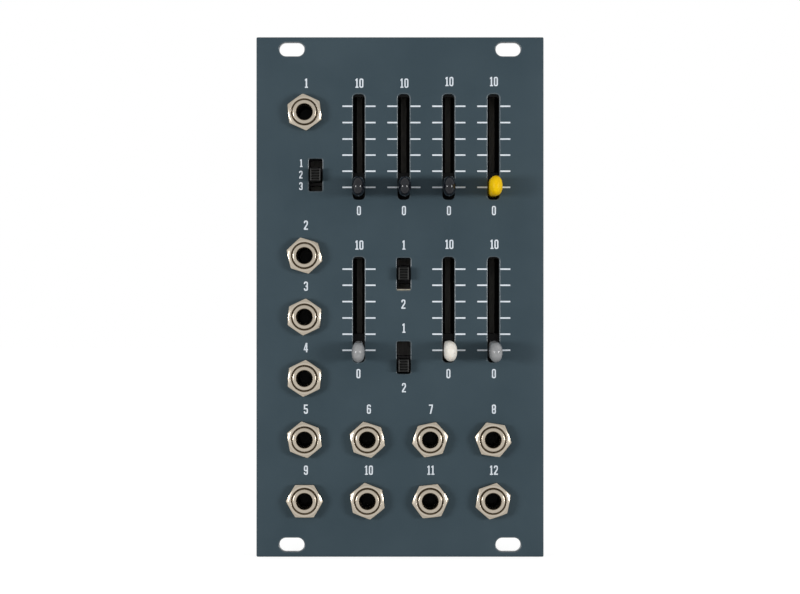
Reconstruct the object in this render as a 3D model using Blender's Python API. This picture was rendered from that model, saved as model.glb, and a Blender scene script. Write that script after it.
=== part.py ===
"""A 3U synthesizer module, 14 HP wide, that hangs by its front panel between two rack rails.

The origin is on the panel's rear face, midway between its two lower rail slots. The panel faces -Y,
+Z is up, and every length is in metres. Slide potentiometers, slide switches and jacks stand on one
board behind the panel. The jacks' nuts clamp the panel and the board together.
"""

import math

import bmesh
import bpy
from mathutils import Vector

# Clearances and overruns
SEAT_GAP = 0.0003
CUT_OVERRUN = 0.001
JOIN_OVERLAP = 0.0002
SAME_POINT = 0.000001

# Front panel, and the rail slots that hang it in a rack
PANEL_WIDTH = 0.07102
PANEL_HEIGHT = 0.1285
PANEL_THICKNESS = 0.002
RAIL_SLOT_RISE = 0.003
RAIL_SLOT_INSET = 0.00876
RAIL_SLOT_LENGTH = 0.0062
RAIL_SLOT_WIDTH = 0.0034

# Rows: shares of the height that two rows of sliders and two rows of jacks leave free
TOP_MARGIN_SHARE = 0.2563
SLIDER_ROWS_SHARE = 0.1408
SLIDER_TO_JACK_SHARE = 0.228
JACK_ROWS_SHARE = 0.1235
GATE_MARGIN_SHARE = 0.3373

# Columns: shares of the width that one column of jacks and the columns of sliders leave free
LEFT_MARGIN_SHARE = 0.2867
JACK_TO_SLIDER_SHARE = 0.1672
SLIDER_COLUMNS_SHARE = 0.0811
JACK_COLUMNS_SHARE = 0.2498

# Jacks: a threaded bushing on a contact plate, a hexagon nut and a moulded housing
BUSHING_RADIUS = 0.003
BUSHING_BORE_RADIUS = 0.0018
BUSHING_RISE = 0.0025
BUSHING_EDGE = 0.0003
BUSHING_BORE_EDGE = 0.00025
BUSHING_HOLE_CLEARANCE = 0.0002
PLATE_SIDE_SETBACK = 0.0002
PLATE_BELOW = 0.0042
PLATE_THICKNESS = 0.0005
LUG_WIDTH = 0.0024
LUG_THICKNESS = 0.0004
NUT_ACROSS_FLATS = 0.008
NUT_THICKNESS = 0.0018
NUT_FACE_EDGE = 0.0002
NUT_CHAMFER_DEPTH = 0.00045
NUT_THREAD_CLEARANCE = 0.00015
HOUSING_WIDTH = 0.009
HOUSING_BELOW = 0.0045
HOUSING_ABOVE = 0.0053
HOUSING_DEPTH = 0.0089
HOUSING_CORNER = 0.0006
HOUSING_BORE_CLEARANCE = 0.0001
HOUSING_FLOOR = 0.0009
HOUSING_WINDOW_WIDTH = 0.003
HOUSING_WINDOW_WALL = 0.0034
SWITCH_CONTACT_DROP = 0.0018
TIP_CONTACT_EDGE = 0.0006

# Board, and the pins that pass through it
BOARD_SIDE_SETBACK = 0.002
BOARD_MARGIN = 0.0008
BOARD_THICKNESS = 0.0016
BOARD_CORNER = 0.001
PIN_WIDTH = 0.0009
PIN_THICKNESS = 0.0004
PIN_TAIL = 0.0012
PIN_HOLE_CLEARANCE = 0.0002

# Slide potentiometers: a folded can, and a lever with a carriage, a neck and a clear lens
SLIDER_TRAVEL = 0.02
CAN_WIDTH = 0.009
CAN_DEPTH = 0.0067
CAN_WALL = 0.0008
CAN_FLOOR = 0.001
CAN_CORNER = 0.0007
CAN_END = 0.0025
CAN_SLOT_SIDE_CLEARANCE = 0.0003
CAN_SLOT_END_CLEARANCE = 0.0006
CAN_SLOT_CORNER = 0.0005
CAN_NOTCH_WIDTH = 0.0024
CAN_NOTCH_LENGTH = 0.0009
CAN_NOTCH_DEPTH = 0.0022
CAN_TERMINAL_SPREAD = 0.005
CARRIAGE_LENGTH = 0.008
CARRIAGE_CORNER = 0.0004
CARRIAGE_SIDE_CLEARANCE = 0.0003
CARRIAGE_END_CLEARANCE = 0.001
CARRIAGE_RAIL_WIDTH = 0.001
CARRIAGE_RAIL_DEPTH = 0.0008
NECK_WIDTH = 0.0023
NECK_HEIGHT = 0.0044
NECK_CORNER = 0.0008
LENS_WIDTH = 0.0029
LENS_HEIGHT = 0.0051
LENS_REACH = 0.0095
LENS_FLARE = 0.0018
LENS_STRAIGHT = 0.0008
LENS_DOME = 0.0026
LENS_EXPONENT = 2.5
DOME_SWEEP_SHARE = 0.87
PANEL_SLOT_SIDE_CLEARANCE = 0.00005
PANEL_SLOT_END_CLEARANCE = 0.00085
PANEL_SLOT_CORNER = 0.0009

# Slide switches: a moulded body and a knob with a ribbed top. Their places are shares of the free
# stretch of their column, between the pieces above and below them
WAVEFORM_SWITCH_SHARE = 0.4386
SPEED_DEPTH_SWITCH_SHARE = 0.2865
VCO_LFO_SWITCH_SHARE = 0.7096
WAVEFORM_SWITCH_SHIFT = 0.00267
SWITCH_TRAVEL = 0.004
SWITCH_BODY_DEPTH = 0.0052
SWITCH_WALL = 0.0006
SWITCH_FRONT_WALL = 0.0008
SWITCH_FLOOR = 0.0008
SWITCH_CORNER = 0.0004
SWITCH_TERMINAL_PITCH = 0.0025
SHOE_WIDTH = 0.0039
SHOE_LENGTH = 0.0046
SHOE_CLEARANCE = 0.0003
KNOB_WIDTH = 0.00265
KNOB_LENGTH = 0.0033
KNOB_RISE = 0.002
KNOB_CORNER = 0.0003
KNOB_SIDE_CLEARANCE = 0.00035
KNOB_END_CLEARANCE = 0.00035
KNOB_RIM = 0.0003
KNOB_GROOVE_DEPTH = 0.00035
KNOB_GROOVE_PITCH = 0.00064
KNOB_GROOVE_SHARE = 0.8
WINDOW_CORNER = 0.0004

# Rear of the board: a shrouded power header and the chips
HEADER_PIN_PITCH = 0.00254
HEADER_PIN_WIDTH = 0.00064
HEADER_PIN_END_GAP = 0.0009
HEADER_LENGTH_OVER_PINS = 0.0101
HEADER_WIDTH = 0.0088
HEADER_DEPTH = 0.009
HEADER_WALL = 0.001
HEADER_FLOOR = 0.0024
HEADER_KEY_WIDTH = 0.0045
HEADER_PIN_CLEARANCE = 0.0002
MAIN_CHIP_SIDE = 0.007
MAIN_CHIP_THICKNESS = 0.0014
MAIN_CHIP_LEAD_REACH = 0.001
MAIN_CHIP_LEAD_THICKNESS = 0.0004
SMALL_CHIP_WIDTH = 0.0039
SMALL_CHIP_LENGTH = 0.0086
SMALL_CHIP_THICKNESS = 0.0015
SMALL_CHIP_GAP = 0.0019
CAPACITOR_RADIUS = 0.0025
CAPACITOR_HEIGHT = 0.0054
CAPACITOR_BASE_EDGE = 0.00015
CAPACITOR_BASE_HEIGHT = 0.0009

# Counts of facets and of repeated details, and the angle under which an edge is shaded smooth
BORE_STEPS = 16
HOLE_STEPS = 20
NUT_STEPS = 18
HEXAGON_SIDES = 6
CORNER_STEPS = 2
ROUND_END_STEPS = 4
LENS_STEPS = 16
DOME_STEPS = 3
HEADER_COLUMNS = 5
GROOVE_COUNT = 5
SMALL_CHIP_COUNT = 4
SLIDER_COLUMN_COUNT = 4
SMOOTH_DEGREES = 35

# Places along Y, from the panel's front to the tails of the pins
PANEL_FRONT = -PANEL_THICKNESS
BUSHING_FRONT = PANEL_FRONT - BUSHING_RISE
NUT_REAR = PANEL_FRONT - SEAT_GAP
NUT_FRONT = NUT_REAR - NUT_THICKNESS
PLATE_FRONT = SEAT_GAP
PLATE_REAR = PLATE_FRONT + PLATE_THICKNESS
HOUSING_FRONT = PLATE_REAR + SEAT_GAP
HOUSING_REAR = HOUSING_FRONT + HOUSING_DEPTH
BOARD_FRONT = HOUSING_REAR + SEAT_GAP
BOARD_REAR = BOARD_FRONT + BOARD_THICKNESS
PIN_END = BOARD_REAR + PIN_TAIL
CAN_REAR = BOARD_FRONT - SEAT_GAP
CAN_FRONT = CAN_REAR - CAN_DEPTH
CARRIAGE_FRONT = CAN_FRONT + CAN_WALL + CARRIAGE_SIDE_CLEARANCE
CARRIAGE_RAIL_REAR = CAN_REAR - CAN_FLOOR - CARRIAGE_SIDE_CLEARANCE
CARRIAGE_REAR = CARRIAGE_RAIL_REAR - CARRIAGE_RAIL_DEPTH
LENS_TIP = PANEL_FRONT - LENS_REACH
LENS_DOME_START = LENS_TIP + LENS_DOME
LENS_FLARE_END = LENS_DOME_START + LENS_STRAIGHT
LENS_NECK = LENS_FLARE_END + LENS_FLARE
SWITCH_REAR = BOARD_FRONT - SEAT_GAP
SWITCH_FRONT = SWITCH_REAR - SWITCH_BODY_DEPTH
SHOE_FRONT = SWITCH_FRONT + SWITCH_FRONT_WALL + SHOE_CLEARANCE
SHOE_REAR = SWITCH_REAR - SWITCH_FLOOR - SHOE_CLEARANCE
KNOB_FRONT = PANEL_FRONT - KNOB_RISE
HEADER_FRONT = BOARD_REAR + SEAT_GAP
HEADER_REAR = HEADER_FRONT + HEADER_DEPTH

# Sizes that follow from what a piece carries or lets through
RAIL_SLOT_SPACING_UP = PANEL_HEIGHT - 2 * RAIL_SLOT_RISE
RAIL_SLOT_SPACING_ACROSS = PANEL_WIDTH - 2 * RAIL_SLOT_INSET
LUG_TOP = HOUSING_ABOVE + SEAT_GAP + LUG_THICKNESS
JACK_HEIGHT = LUG_TOP + HOUSING_BELOW
PLATE_WIDTH = HOUSING_WIDTH - 2 * PLATE_SIDE_SETBACK
NUT_FACE_RADIUS = NUT_ACROSS_FLATS / 2 - NUT_FACE_EDGE
TIP_CONTACT_DROP = HOUSING_BELOW - TIP_CONTACT_EDGE
PANEL_SLOT_WIDTH = LENS_WIDTH + 2 * PANEL_SLOT_SIDE_CLEARANCE
PANEL_SLOT_LENGTH = NECK_HEIGHT + SLIDER_TRAVEL + 2 * PANEL_SLOT_END_CLEARANCE
CAN_SLOT_WIDTH = NECK_WIDTH + 2 * CAN_SLOT_SIDE_CLEARANCE
CAN_SLOT_LENGTH = NECK_HEIGHT + SLIDER_TRAVEL + 2 * CAN_SLOT_END_CLEARANCE
CAN_ROOM_LENGTH = CARRIAGE_LENGTH + SLIDER_TRAVEL + 2 * CARRIAGE_END_CLEARANCE
CAN_LENGTH = CAN_ROOM_LENGTH + 2 * CAN_END
CAN_ROOM_WIDTH = CAN_WIDTH - 2 * CAN_WALL
CARRIAGE_WIDTH = CAN_ROOM_WIDTH - 2 * CARRIAGE_SIDE_CLEARANCE
WINDOW_WIDTH = KNOB_WIDTH + 2 * KNOB_SIDE_CLEARANCE
WINDOW_LENGTH = KNOB_LENGTH + SWITCH_TRAVEL + 2 * KNOB_END_CLEARANCE
SWITCH_ROOM_WIDTH = SHOE_WIDTH + 2 * SHOE_CLEARANCE
SWITCH_ROOM_LENGTH = SHOE_LENGTH + SWITCH_TRAVEL + 2 * SHOE_CLEARANCE
SWITCH_WIDTH = SWITCH_ROOM_WIDTH + 2 * SWITCH_WALL
SWITCH_LENGTH = SWITCH_ROOM_LENGTH + 2 * SWITCH_WALL
HEADER_LENGTH = HEADER_PIN_PITCH * (HEADER_COLUMNS - 1) + HEADER_LENGTH_OVER_PINS

# Rows, as drops from the panel's upper edge
FREE_HEIGHT = PANEL_HEIGHT - 2 * CAN_LENGTH - 2 * JACK_HEIGHT
UPPER_SLIDER_DROP = FREE_HEIGHT * TOP_MARGIN_SHARE + CAN_LENGTH / 2
LOWER_SLIDER_DROP = UPPER_SLIDER_DROP + CAN_LENGTH + FREE_HEIGHT * SLIDER_ROWS_SHARE
UPPER_CAN_END = UPPER_SLIDER_DROP + CAN_LENGTH / 2
LOWER_CAN_END = LOWER_SLIDER_DROP + CAN_LENGTH / 2
OUTPUT_ROW_TOP = LOWER_CAN_END + FREE_HEIGHT * SLIDER_TO_JACK_SHARE
JACK_PITCH_DOWN = JACK_HEIGHT + FREE_HEIGHT * JACK_ROWS_SHARE
GATE_JACK_DROP = FREE_HEIGHT * GATE_MARGIN_SHARE + LUG_TOP

# Columns, as places along X
FREE_WIDTH = PANEL_WIDTH - HOUSING_WIDTH - SLIDER_COLUMN_COUNT * CAN_WIDTH
JACK_PITCH_ACROSS = HOUSING_WIDTH + FREE_WIDTH * JACK_COLUMNS_SHARE
SLIDER_PITCH = CAN_WIDTH + FREE_WIDTH * SLIDER_COLUMNS_SHARE
FIRST_JACK_X = (HOUSING_WIDTH - PANEL_WIDTH) / 2 + FREE_WIDTH * LEFT_MARGIN_SHARE
JACK_SIDE_X = FIRST_JACK_X + HOUSING_WIDTH / 2
SLIDER_SIDE_X = JACK_SIDE_X + FREE_WIDTH * JACK_TO_SLIDER_SHARE
FIRST_SLIDER_X = SLIDER_SIDE_X + CAN_WIDTH / 2


def height(drop):
    """The place along Z of something measured down from the panel's upper edge."""
    return PANEL_HEIGHT - RAIL_SLOT_RISE - drop


def between(start, end, share):
    return start + (end - start) * share


# Each jack: its name, its column, its row, and its nut's turn in degrees
GATE_ROW = -1
OUTPUT_ROW = 3
LAST_ROW = 4
JACKS = (
    ("gate", 0, GATE_ROW, -5.7),
    ("signal_in", 0, 0, -13.0),
    ("reference_in", 0, 1, 4.3),
    ("modulation_out", 0, 2, 4.0),
    ("envelope_out", 0, OUTPUT_ROW, -9.0),
    ("pitch_in", 1, OUTPUT_ROW, -12.0),
    ("oscillator_out", 2, OUTPUT_ROW, 18.0),
    ("depth_in", 3, OUTPUT_ROW, -21.0),
    ("attack_in", 0, LAST_ROW, 30.0),
    ("decay_in", 1, LAST_ROW, -8.6),
    ("sustain_in", 2, LAST_ROW, 23.6),
    ("release_in", 3, LAST_ROW, 11.0),
)


def jack_drop(row):
    """The gate jack stands by itself. The other rows are evenly spaced from the row of outputs."""
    if row == GATE_ROW:
        return GATE_JACK_DROP
    return OUTPUT_ROW_TOP + LUG_TOP + JACK_PITCH_DOWN * (row - OUTPUT_ROW)


# Each slider: its name, its column, its row and its lever's colour
SLIDERS = (
    ("attack", 0, UPPER_SLIDER_DROP, "smoke"),
    ("decay", 1, UPPER_SLIDER_DROP, "smoke"),
    ("sustain", 2, UPPER_SLIDER_DROP, "smoke"),
    ("release", 3, UPPER_SLIDER_DROP, "yellow"),
    ("envelope_amount", 0, LOWER_SLIDER_DROP, "grey"),
    ("speed", 2, LOWER_SLIDER_DROP, "white"),
    ("depth", 3, LOWER_SLIDER_DROP, "grey"),
)
MIDDLE_COLUMN = 1
LAST_COLUMNS = (2, 3)


def slider_x(column):
    return FIRST_SLIDER_X + SLIDER_PITCH * column


# Each switch: its name, its place, and how far its knob rests from the middle, in shares of the travel
WAVEFORM_SWITCH_X = FIRST_JACK_X + WAVEFORM_SWITCH_SHIFT
GATE_JACK_END = GATE_JACK_DROP + HOUSING_BELOW
WAVEFORM_SWITCH_DROP = between(GATE_JACK_END, jack_drop(0) - LUG_TOP, WAVEFORM_SWITCH_SHARE)
SPEED_DEPTH_SWITCH_DROP = between(UPPER_CAN_END, OUTPUT_ROW_TOP, SPEED_DEPTH_SWITCH_SHARE)
VCO_LFO_SWITCH_DROP = between(UPPER_CAN_END, OUTPUT_ROW_TOP, VCO_LFO_SWITCH_SHARE)
SWITCHES = (
    ("waveform", WAVEFORM_SWITCH_X, WAVEFORM_SWITCH_DROP, 0),
    ("speed_depth", slider_x(MIDDLE_COLUMN), SPEED_DEPTH_SWITCH_DROP, 0),
    ("vco_lfo", slider_x(MIDDLE_COLUMN), VCO_LFO_SWITCH_DROP, -0.5),
)


def jack_places():
    """Each jack's name, its place and its nut's turn."""
    for name, column, row, turn in JACKS:
        yield name, FIRST_JACK_X + JACK_PITCH_ACROSS * column, height(jack_drop(row)), turn


def header_place():
    """The header stands between the left jacks and the first column of sliders."""
    return (JACK_SIDE_X + SLIDER_SIDE_X) / 2, height(LOWER_SLIDER_DROP)


def main_chip_place():
    """The main chip stands behind the gap between the last two columns of sliders."""
    return sum(slider_x(column) for column in LAST_COLUMNS) / len(LAST_COLUMNS), height(LOWER_SLIDER_DROP)


# Outlines, drawn in X and Z


def rectangle(width, length, x=0, z=0):
    half_width, half_length = width / 2, length / 2
    corners = ((-1, -1), (1, -1), (1, 1), (-1, 1))
    return [(x + sx * half_width, z + sz * half_length) for sx, sz in corners]


def rounded_rectangle(width, length, radius, x=0, z=0, steps=CORNER_STEPS):
    """A rectangle whose four corners are arcs. A radius of half the width makes a slot with round ends."""
    radius = min(radius, width / 2, length / 2)
    points = []
    for corner, (sx, sz) in enumerate(((1, 1), (-1, 1), (-1, -1), (1, -1))):
        centre_x = x + sx * (width / 2 - radius)
        centre_z = z + sz * (length / 2 - radius)
        for step in range(steps + 1):
            angle = math.pi / 2 * (corner + step / steps)
            points.append((centre_x + radius * math.cos(angle), centre_z + radius * math.sin(angle)))
    return without_doubles(points)


def without_doubles(points):
    """The same outline without any point that repeats the one before it."""
    pairs = zip(points, points[-1:] + points[:-1])
    return [point for point, before in pairs if math.dist(point, before) > SAME_POINT]


def circle(radius, steps, x=0, z=0):
    """A polygon on a circle, with one corner straight up."""
    angles = [math.pi / 2 + math.tau * step / steps for step in range(steps)]
    return [(x + radius * math.cos(angle), z + radius * math.sin(angle)) for angle in angles]


def superellipse(width, length):
    """An oval with fuller corners than an ellipse has."""
    power = 2 / LENS_EXPONENT
    points = []
    for step in range(LENS_STEPS):
        angle = math.tau * step / LENS_STEPS
        across, up = math.cos(angle), math.sin(angle)
        x = math.copysign(abs(across) ** power, across)
        z = math.copysign(abs(up) ** power, up)
        points.append((x * width / 2, z * length / 2))
    return points


# Meshes


def mesh_from(bm):
    """A plain mesh with every face pointing out."""
    bmesh.ops.recalc_face_normals(bm, faces=bm.faces)
    mesh = bpy.data.meshes.new("shape")
    bm.to_mesh(mesh)
    bm.free()
    return mesh


def bridge(bm, near, far):
    """A band of faces between two closed loops with as many points."""
    for start in range(len(near)):
        before = start - 1
        bm.faces.new((near[before], near[start], far[start], far[before]))


def add_loft(bm, rings):
    """A closed skin through outlines at their depths, each with as many points as the first."""
    loops = []
    for outline, depth in rings:
        loops.append([bm.verts.new(Vector((x, depth, z))) for x, z in outline])
    for near, far in zip(loops, loops[1:]):
        bridge(bm, near, far)
    bm.faces.new(loops[0])
    bm.faces.new(loops[-1])


def loft(rings):
    bm = bmesh.new()
    add_loft(bm, rings)
    return mesh_from(bm)


def prisms(shapes):
    """One mesh of separate straight prisms, each an outline with its front and its rear."""
    bm = bmesh.new()
    for outline, front, rear in shapes:
        add_loft(bm, ((outline, front), (outline, rear)))
    return mesh_from(bm)


def prism(outline, front, rear):
    return prisms(((outline, front, rear),))


def prism_across(outline, left, right):
    """A straight prism along X, whose outline is drawn in Y and Z."""
    bm = bmesh.new()
    near, far = [[bm.verts.new(Vector((x, y, z))) for y, z in outline] for x in (left, right)]
    bridge(bm, near, far)
    bm.faces.new(near)
    bm.faces.new(far)
    return mesh_from(bm)


def turned(profile, steps):
    """A ring turned about Y. The profile is the closed outline of its wall, in radius and depth."""
    bm = bmesh.new()
    loops = []
    for step in range(steps):
        angle = math.tau * step / steps
        across, up = math.cos(angle), math.sin(angle)
        loops.append([bm.verts.new(Vector((r * across, y, r * up))) for r, y in profile])
    for step in range(steps):
        bridge(bm, loops[step - 1], loops[step])
    return mesh_from(bm)


def solid(base, joined=(), kept_inside=(), cut=()):
    """The base with some meshes fused on, then kept only inside others, then cut by the last ones."""
    scene = bpy.context.scene.collection
    body = bpy.data.objects.new("body", base)
    scene.objects.link(body)
    helpers = []
    steps = (("UNION", joined), ("INTERSECT", kept_inside), ("DIFFERENCE", cut))
    for operation, meshes in steps:
        for mesh in meshes:
            helper = bpy.data.objects.new("helper", mesh)
            scene.objects.link(helper)
            helpers.append(helper)
            modifier = body.modifiers.new(operation.lower(), "BOOLEAN")
            modifier.operation = operation
            modifier.solver = "EXACT"
            modifier.object = helper
    graph = bpy.context.evaluated_depsgraph_get()
    result = bpy.data.meshes.new_from_object(body.evaluated_get(graph))
    for helper in [body, *helpers]:
        used = helper.data
        bpy.data.objects.remove(helper)
        bpy.data.meshes.remove(used)
    return result


def place(name, mesh, x=0, z=0, turn=0):
    """One named piece, turned clockwise as seen from the front. Pieces of a kind share one mesh."""
    piece = bpy.data.objects.new(name, mesh)
    piece.location = (x, 0, z)
    piece.rotation_euler = (0, math.radians(turn), 0)
    bpy.context.scene.collection.objects.link(piece)
    return piece


def dressed(mesh, finish, smooth=False):
    """The mesh with its finish, and with its round faces shaded smooth."""
    mesh.materials.clear()
    mesh.materials.append(finish)
    if smooth:
        mesh.shade_smooth()
        mesh.set_sharp_from_angle(angle=math.radians(SMOOTH_DEGREES))
    return mesh


def finish(name, colour, roughness, metallic=0.0, transmission=0.0):
    material = bpy.data.materials.new(name)
    material.use_nodes = True
    shader = material.node_tree.nodes["Principled BSDF"]
    shader.inputs["Base Color"].default_value = (*colour, 1)
    shader.inputs["Roughness"].default_value = roughness
    shader.inputs["Metallic"].default_value = metallic
    shader.inputs["Transmission Weight"].default_value = transmission
    return material


# Front panel


def panel_shape():
    """A plate with rail slots, round jack holes, long slider slots and switch windows."""
    outline = rectangle(PANEL_WIDTH, PANEL_HEIGHT, z=PANEL_HEIGHT / 2 - RAIL_SLOT_RISE)
    front, rear = PANEL_FRONT - CUT_OVERRUN, CUT_OVERRUN
    cuts = []
    for side in (-1, 1):
        for rise in (0, RAIL_SLOT_SPACING_UP):
            x = side * RAIL_SLOT_SPACING_ACROSS / 2
            radius = RAIL_SLOT_WIDTH / 2
            slot = rounded_rectangle(RAIL_SLOT_LENGTH, RAIL_SLOT_WIDTH, radius, x, rise, ROUND_END_STEPS)
            cuts.append((slot, front, rear))
    for _, x, z, _ in jack_places():
        hole = circle(BUSHING_RADIUS + BUSHING_HOLE_CLEARANCE, HOLE_STEPS, x, z)
        cuts.append((hole, front, rear))
    for _, column, drop, _ in SLIDERS:
        x, z = slider_x(column), height(drop)
        slot = rounded_rectangle(PANEL_SLOT_WIDTH, PANEL_SLOT_LENGTH, PANEL_SLOT_CORNER, x, z)
        cuts.append((slot, front, rear))
    for _, x, drop, _ in SWITCHES:
        window = rounded_rectangle(WINDOW_WIDTH, WINDOW_LENGTH, WINDOW_CORNER, x, height(drop))
        cuts.append((window, front, rear))
    return solid(prism(outline, PANEL_FRONT, 0), cut=(prisms(cuts),))


# Jacks


def nut_shape():
    """A hexagon nut whose front corners are turned down to a round face."""
    corner_radius = NUT_ACROSS_FLATS / 2 / math.cos(math.pi / HEXAGON_SIDES)
    wide_radius = corner_radius + CUT_OVERRUN
    cone_share = (wide_radius - NUT_FACE_RADIUS) / (corner_radius - NUT_FACE_RADIUS)
    cone = loft(
        (
            (circle(NUT_FACE_RADIUS, NUT_STEPS), NUT_FRONT),
            (circle(wide_radius, NUT_STEPS), NUT_FRONT + NUT_CHAMFER_DEPTH * cone_share),
            (circle(wide_radius, NUT_STEPS), NUT_REAR + CUT_OVERRUN),
        )
    )
    hexagon = circle(corner_radius, HEXAGON_SIDES)
    hexagonal = prism(hexagon, NUT_FRONT - CUT_OVERRUN, NUT_REAR)
    thread = circle(BUSHING_RADIUS + NUT_THREAD_CLEARANCE, BORE_STEPS)
    bore = prism(thread, NUT_FRONT - CUT_OVERRUN, NUT_REAR + CUT_OVERRUN)
    return solid(hexagonal, kept_inside=(cone,), cut=(bore,))


def bushing_shape():
    """A turned bushing on a square contact plate, whose lug folds back over the housing to the board."""
    barrel = turned(
        (
            (BUSHING_BORE_RADIUS, PLATE_REAR),
            (BUSHING_BORE_RADIUS, BUSHING_FRONT + BUSHING_BORE_EDGE),
            (BUSHING_BORE_RADIUS + BUSHING_BORE_EDGE, BUSHING_FRONT),
            (BUSHING_RADIUS - BUSHING_EDGE, BUSHING_FRONT),
            (BUSHING_RADIUS, BUSHING_FRONT + BUSHING_EDGE),
            (BUSHING_RADIUS, PLATE_REAR - PLATE_THICKNESS / 2),
        ),
        BORE_STEPS,
    )
    plate_height = PLATE_BELOW + LUG_TOP
    plate_z = (LUG_TOP - PLATE_BELOW) / 2
    plate = prism(rectangle(PLATE_WIDTH, plate_height, z=plate_z), PLATE_FRONT, PLATE_REAR)
    bore_front, bore_rear = PLATE_FRONT - CUT_OVERRUN, PLATE_REAR + CUT_OVERRUN
    bore = prism(circle(BUSHING_BORE_RADIUS, BORE_STEPS), bore_front, bore_rear)
    lug_z = LUG_TOP - LUG_THICKNESS / 2
    lug = prism(rectangle(LUG_WIDTH, LUG_THICKNESS, z=lug_z), PLATE_REAR - JOIN_OVERLAP, HOUSING_REAR)
    pin = prism(rectangle(PIN_WIDTH, PIN_THICKNESS, z=lug_z), HOUSING_REAR - JOIN_OVERLAP, PIN_END)
    drilled_plate = solid(plate, joined=(lug, pin), cut=(bore,))
    return solid(drilled_plate, joined=(barrel,))


def contact_places():
    """The two contact pins of a jack, from its axis."""
    return [(0, -SWITCH_CONTACT_DROP), (0, -TIP_CONTACT_DROP)]


def housing_shape():
    """A moulded box with a blind bore for the plug, a window for the contact springs and two pins."""
    box_height = HOUSING_BELOW + HOUSING_ABOVE
    box_z = (HOUSING_ABOVE - HOUSING_BELOW) / 2
    box = prism(
        rounded_rectangle(HOUSING_WIDTH, box_height, HOUSING_CORNER, z=box_z), HOUSING_FRONT, HOUSING_REAR
    )
    pins = [
        prism(rectangle(PIN_WIDTH, PIN_THICKNESS, x, z), HOUSING_REAR - JOIN_OVERLAP, PIN_END)
        for x, z in contact_places()
    ]
    bore_radius = BUSHING_BORE_RADIUS + HOUSING_BORE_CLEARANCE
    bore = prism(circle(bore_radius, BORE_STEPS), HOUSING_FRONT - CUT_OVERRUN, HOUSING_REAR - HOUSING_FLOOR)
    window_front = HOUSING_FRONT + HOUSING_WINDOW_WALL
    window_rear = HOUSING_REAR - HOUSING_FLOOR
    window_low = -HOUSING_BELOW - CUT_OVERRUN
    window_outline = (
        (window_front, window_low),
        (window_rear, window_low),
        (window_rear, 0),
        (window_front, 0),
    )
    window = prism_across(window_outline, -HOUSING_WINDOW_WIDTH / 2, HOUSING_WINDOW_WIDTH / 2)
    return solid(box, joined=pins, cut=(bore, window))


# Slide potentiometers


def can_terminal_places():
    """The four terminals of a slide potentiometer, two in each end of its can."""
    reach = CAN_LENGTH / 2 - CAN_END / 2
    return [(side * CAN_TERMINAL_SPREAD / 2, end * reach) for side in (-1, 1) for end in (-1, 1)]


def can_shape():
    """A can with a room for the carriage, a slot for the neck, notched ends and four terminals."""
    box = prism(rounded_rectangle(CAN_WIDTH, CAN_LENGTH, CAN_CORNER), CAN_FRONT, CAN_REAR)
    pins = [
        prism(rectangle(PIN_WIDTH, PIN_THICKNESS, x, z), CAN_REAR - JOIN_OVERLAP, PIN_END)
        for x, z in can_terminal_places()
    ]
    room = prism(rectangle(CAN_ROOM_WIDTH, CAN_ROOM_LENGTH), CAN_FRONT + CAN_WALL, CAN_REAR - CAN_FLOOR)
    slot = prism(
        rounded_rectangle(CAN_SLOT_WIDTH, CAN_SLOT_LENGTH, CAN_SLOT_CORNER),
        CAN_FRONT - CUT_OVERRUN,
        CAN_FRONT + CAN_WALL + CAN_DEPTH / 2,
    )
    notches = []
    for end in (-1, 1):
        reach = end * (CAN_LENGTH / 2 - CAN_NOTCH_LENGTH / 2 + CUT_OVERRUN / 2)
        for side in (-1, 1):
            notch = rectangle(CAN_NOTCH_WIDTH, CAN_NOTCH_LENGTH + CUT_OVERRUN, side * CAN_WIDTH / 2, reach)
            notches.append((notch, CAN_FRONT - CUT_OVERRUN, CAN_FRONT + CAN_NOTCH_DEPTH))
    return solid(box, joined=pins, cut=(room, slot, prisms(notches)))


def lens_rings():
    """The lever from its neck to its tip: a flare, a short straight stretch and a dome."""
    sweep = math.pi / 2 * DOME_SWEEP_SHARE
    yield superellipse(NECK_WIDTH, NECK_HEIGHT), LENS_NECK
    yield superellipse(LENS_WIDTH, LENS_HEIGHT), LENS_FLARE_END
    for step in range(DOME_STEPS + 1):
        angle = sweep * step / DOME_STEPS
        shrink, rise = math.cos(angle), math.sin(angle) / math.sin(sweep)
        yield superellipse(LENS_WIDTH * shrink, LENS_HEIGHT * shrink), LENS_DOME_START - LENS_DOME * rise


def lever_shape():
    """A carriage on two rails, a neck through both slots and a domed lens in front of the panel."""
    carriage = prism(
        rounded_rectangle(CARRIAGE_WIDTH, CARRIAGE_LENGTH, CARRIAGE_CORNER), CARRIAGE_FRONT, CARRIAGE_REAR
    )
    neck_front = LENS_NECK - JOIN_OVERLAP
    neck = prism(
        rounded_rectangle(NECK_WIDTH, NECK_HEIGHT, NECK_CORNER), neck_front, CARRIAGE_FRONT + JOIN_OVERLAP
    )
    rail_x = (CARRIAGE_WIDTH - CARRIAGE_RAIL_WIDTH) / 2
    rails = [
        prism(
            rectangle(CARRIAGE_RAIL_WIDTH, CARRIAGE_LENGTH - 2 * CARRIAGE_CORNER, side * rail_x),
            CARRIAGE_REAR - JOIN_OVERLAP,
            CARRIAGE_RAIL_REAR,
        )
        for side in (-1, 1)
    ]
    lens = loft(tuple(lens_rings()))
    return solid(carriage, joined=(neck, lens, *rails))


# Slide switches


def switch_terminal_places():
    """Three terminals in a row down the middle of a switch."""
    return [(0, row * SWITCH_TERMINAL_PITCH) for row in (-1, 0, 1)]


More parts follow.
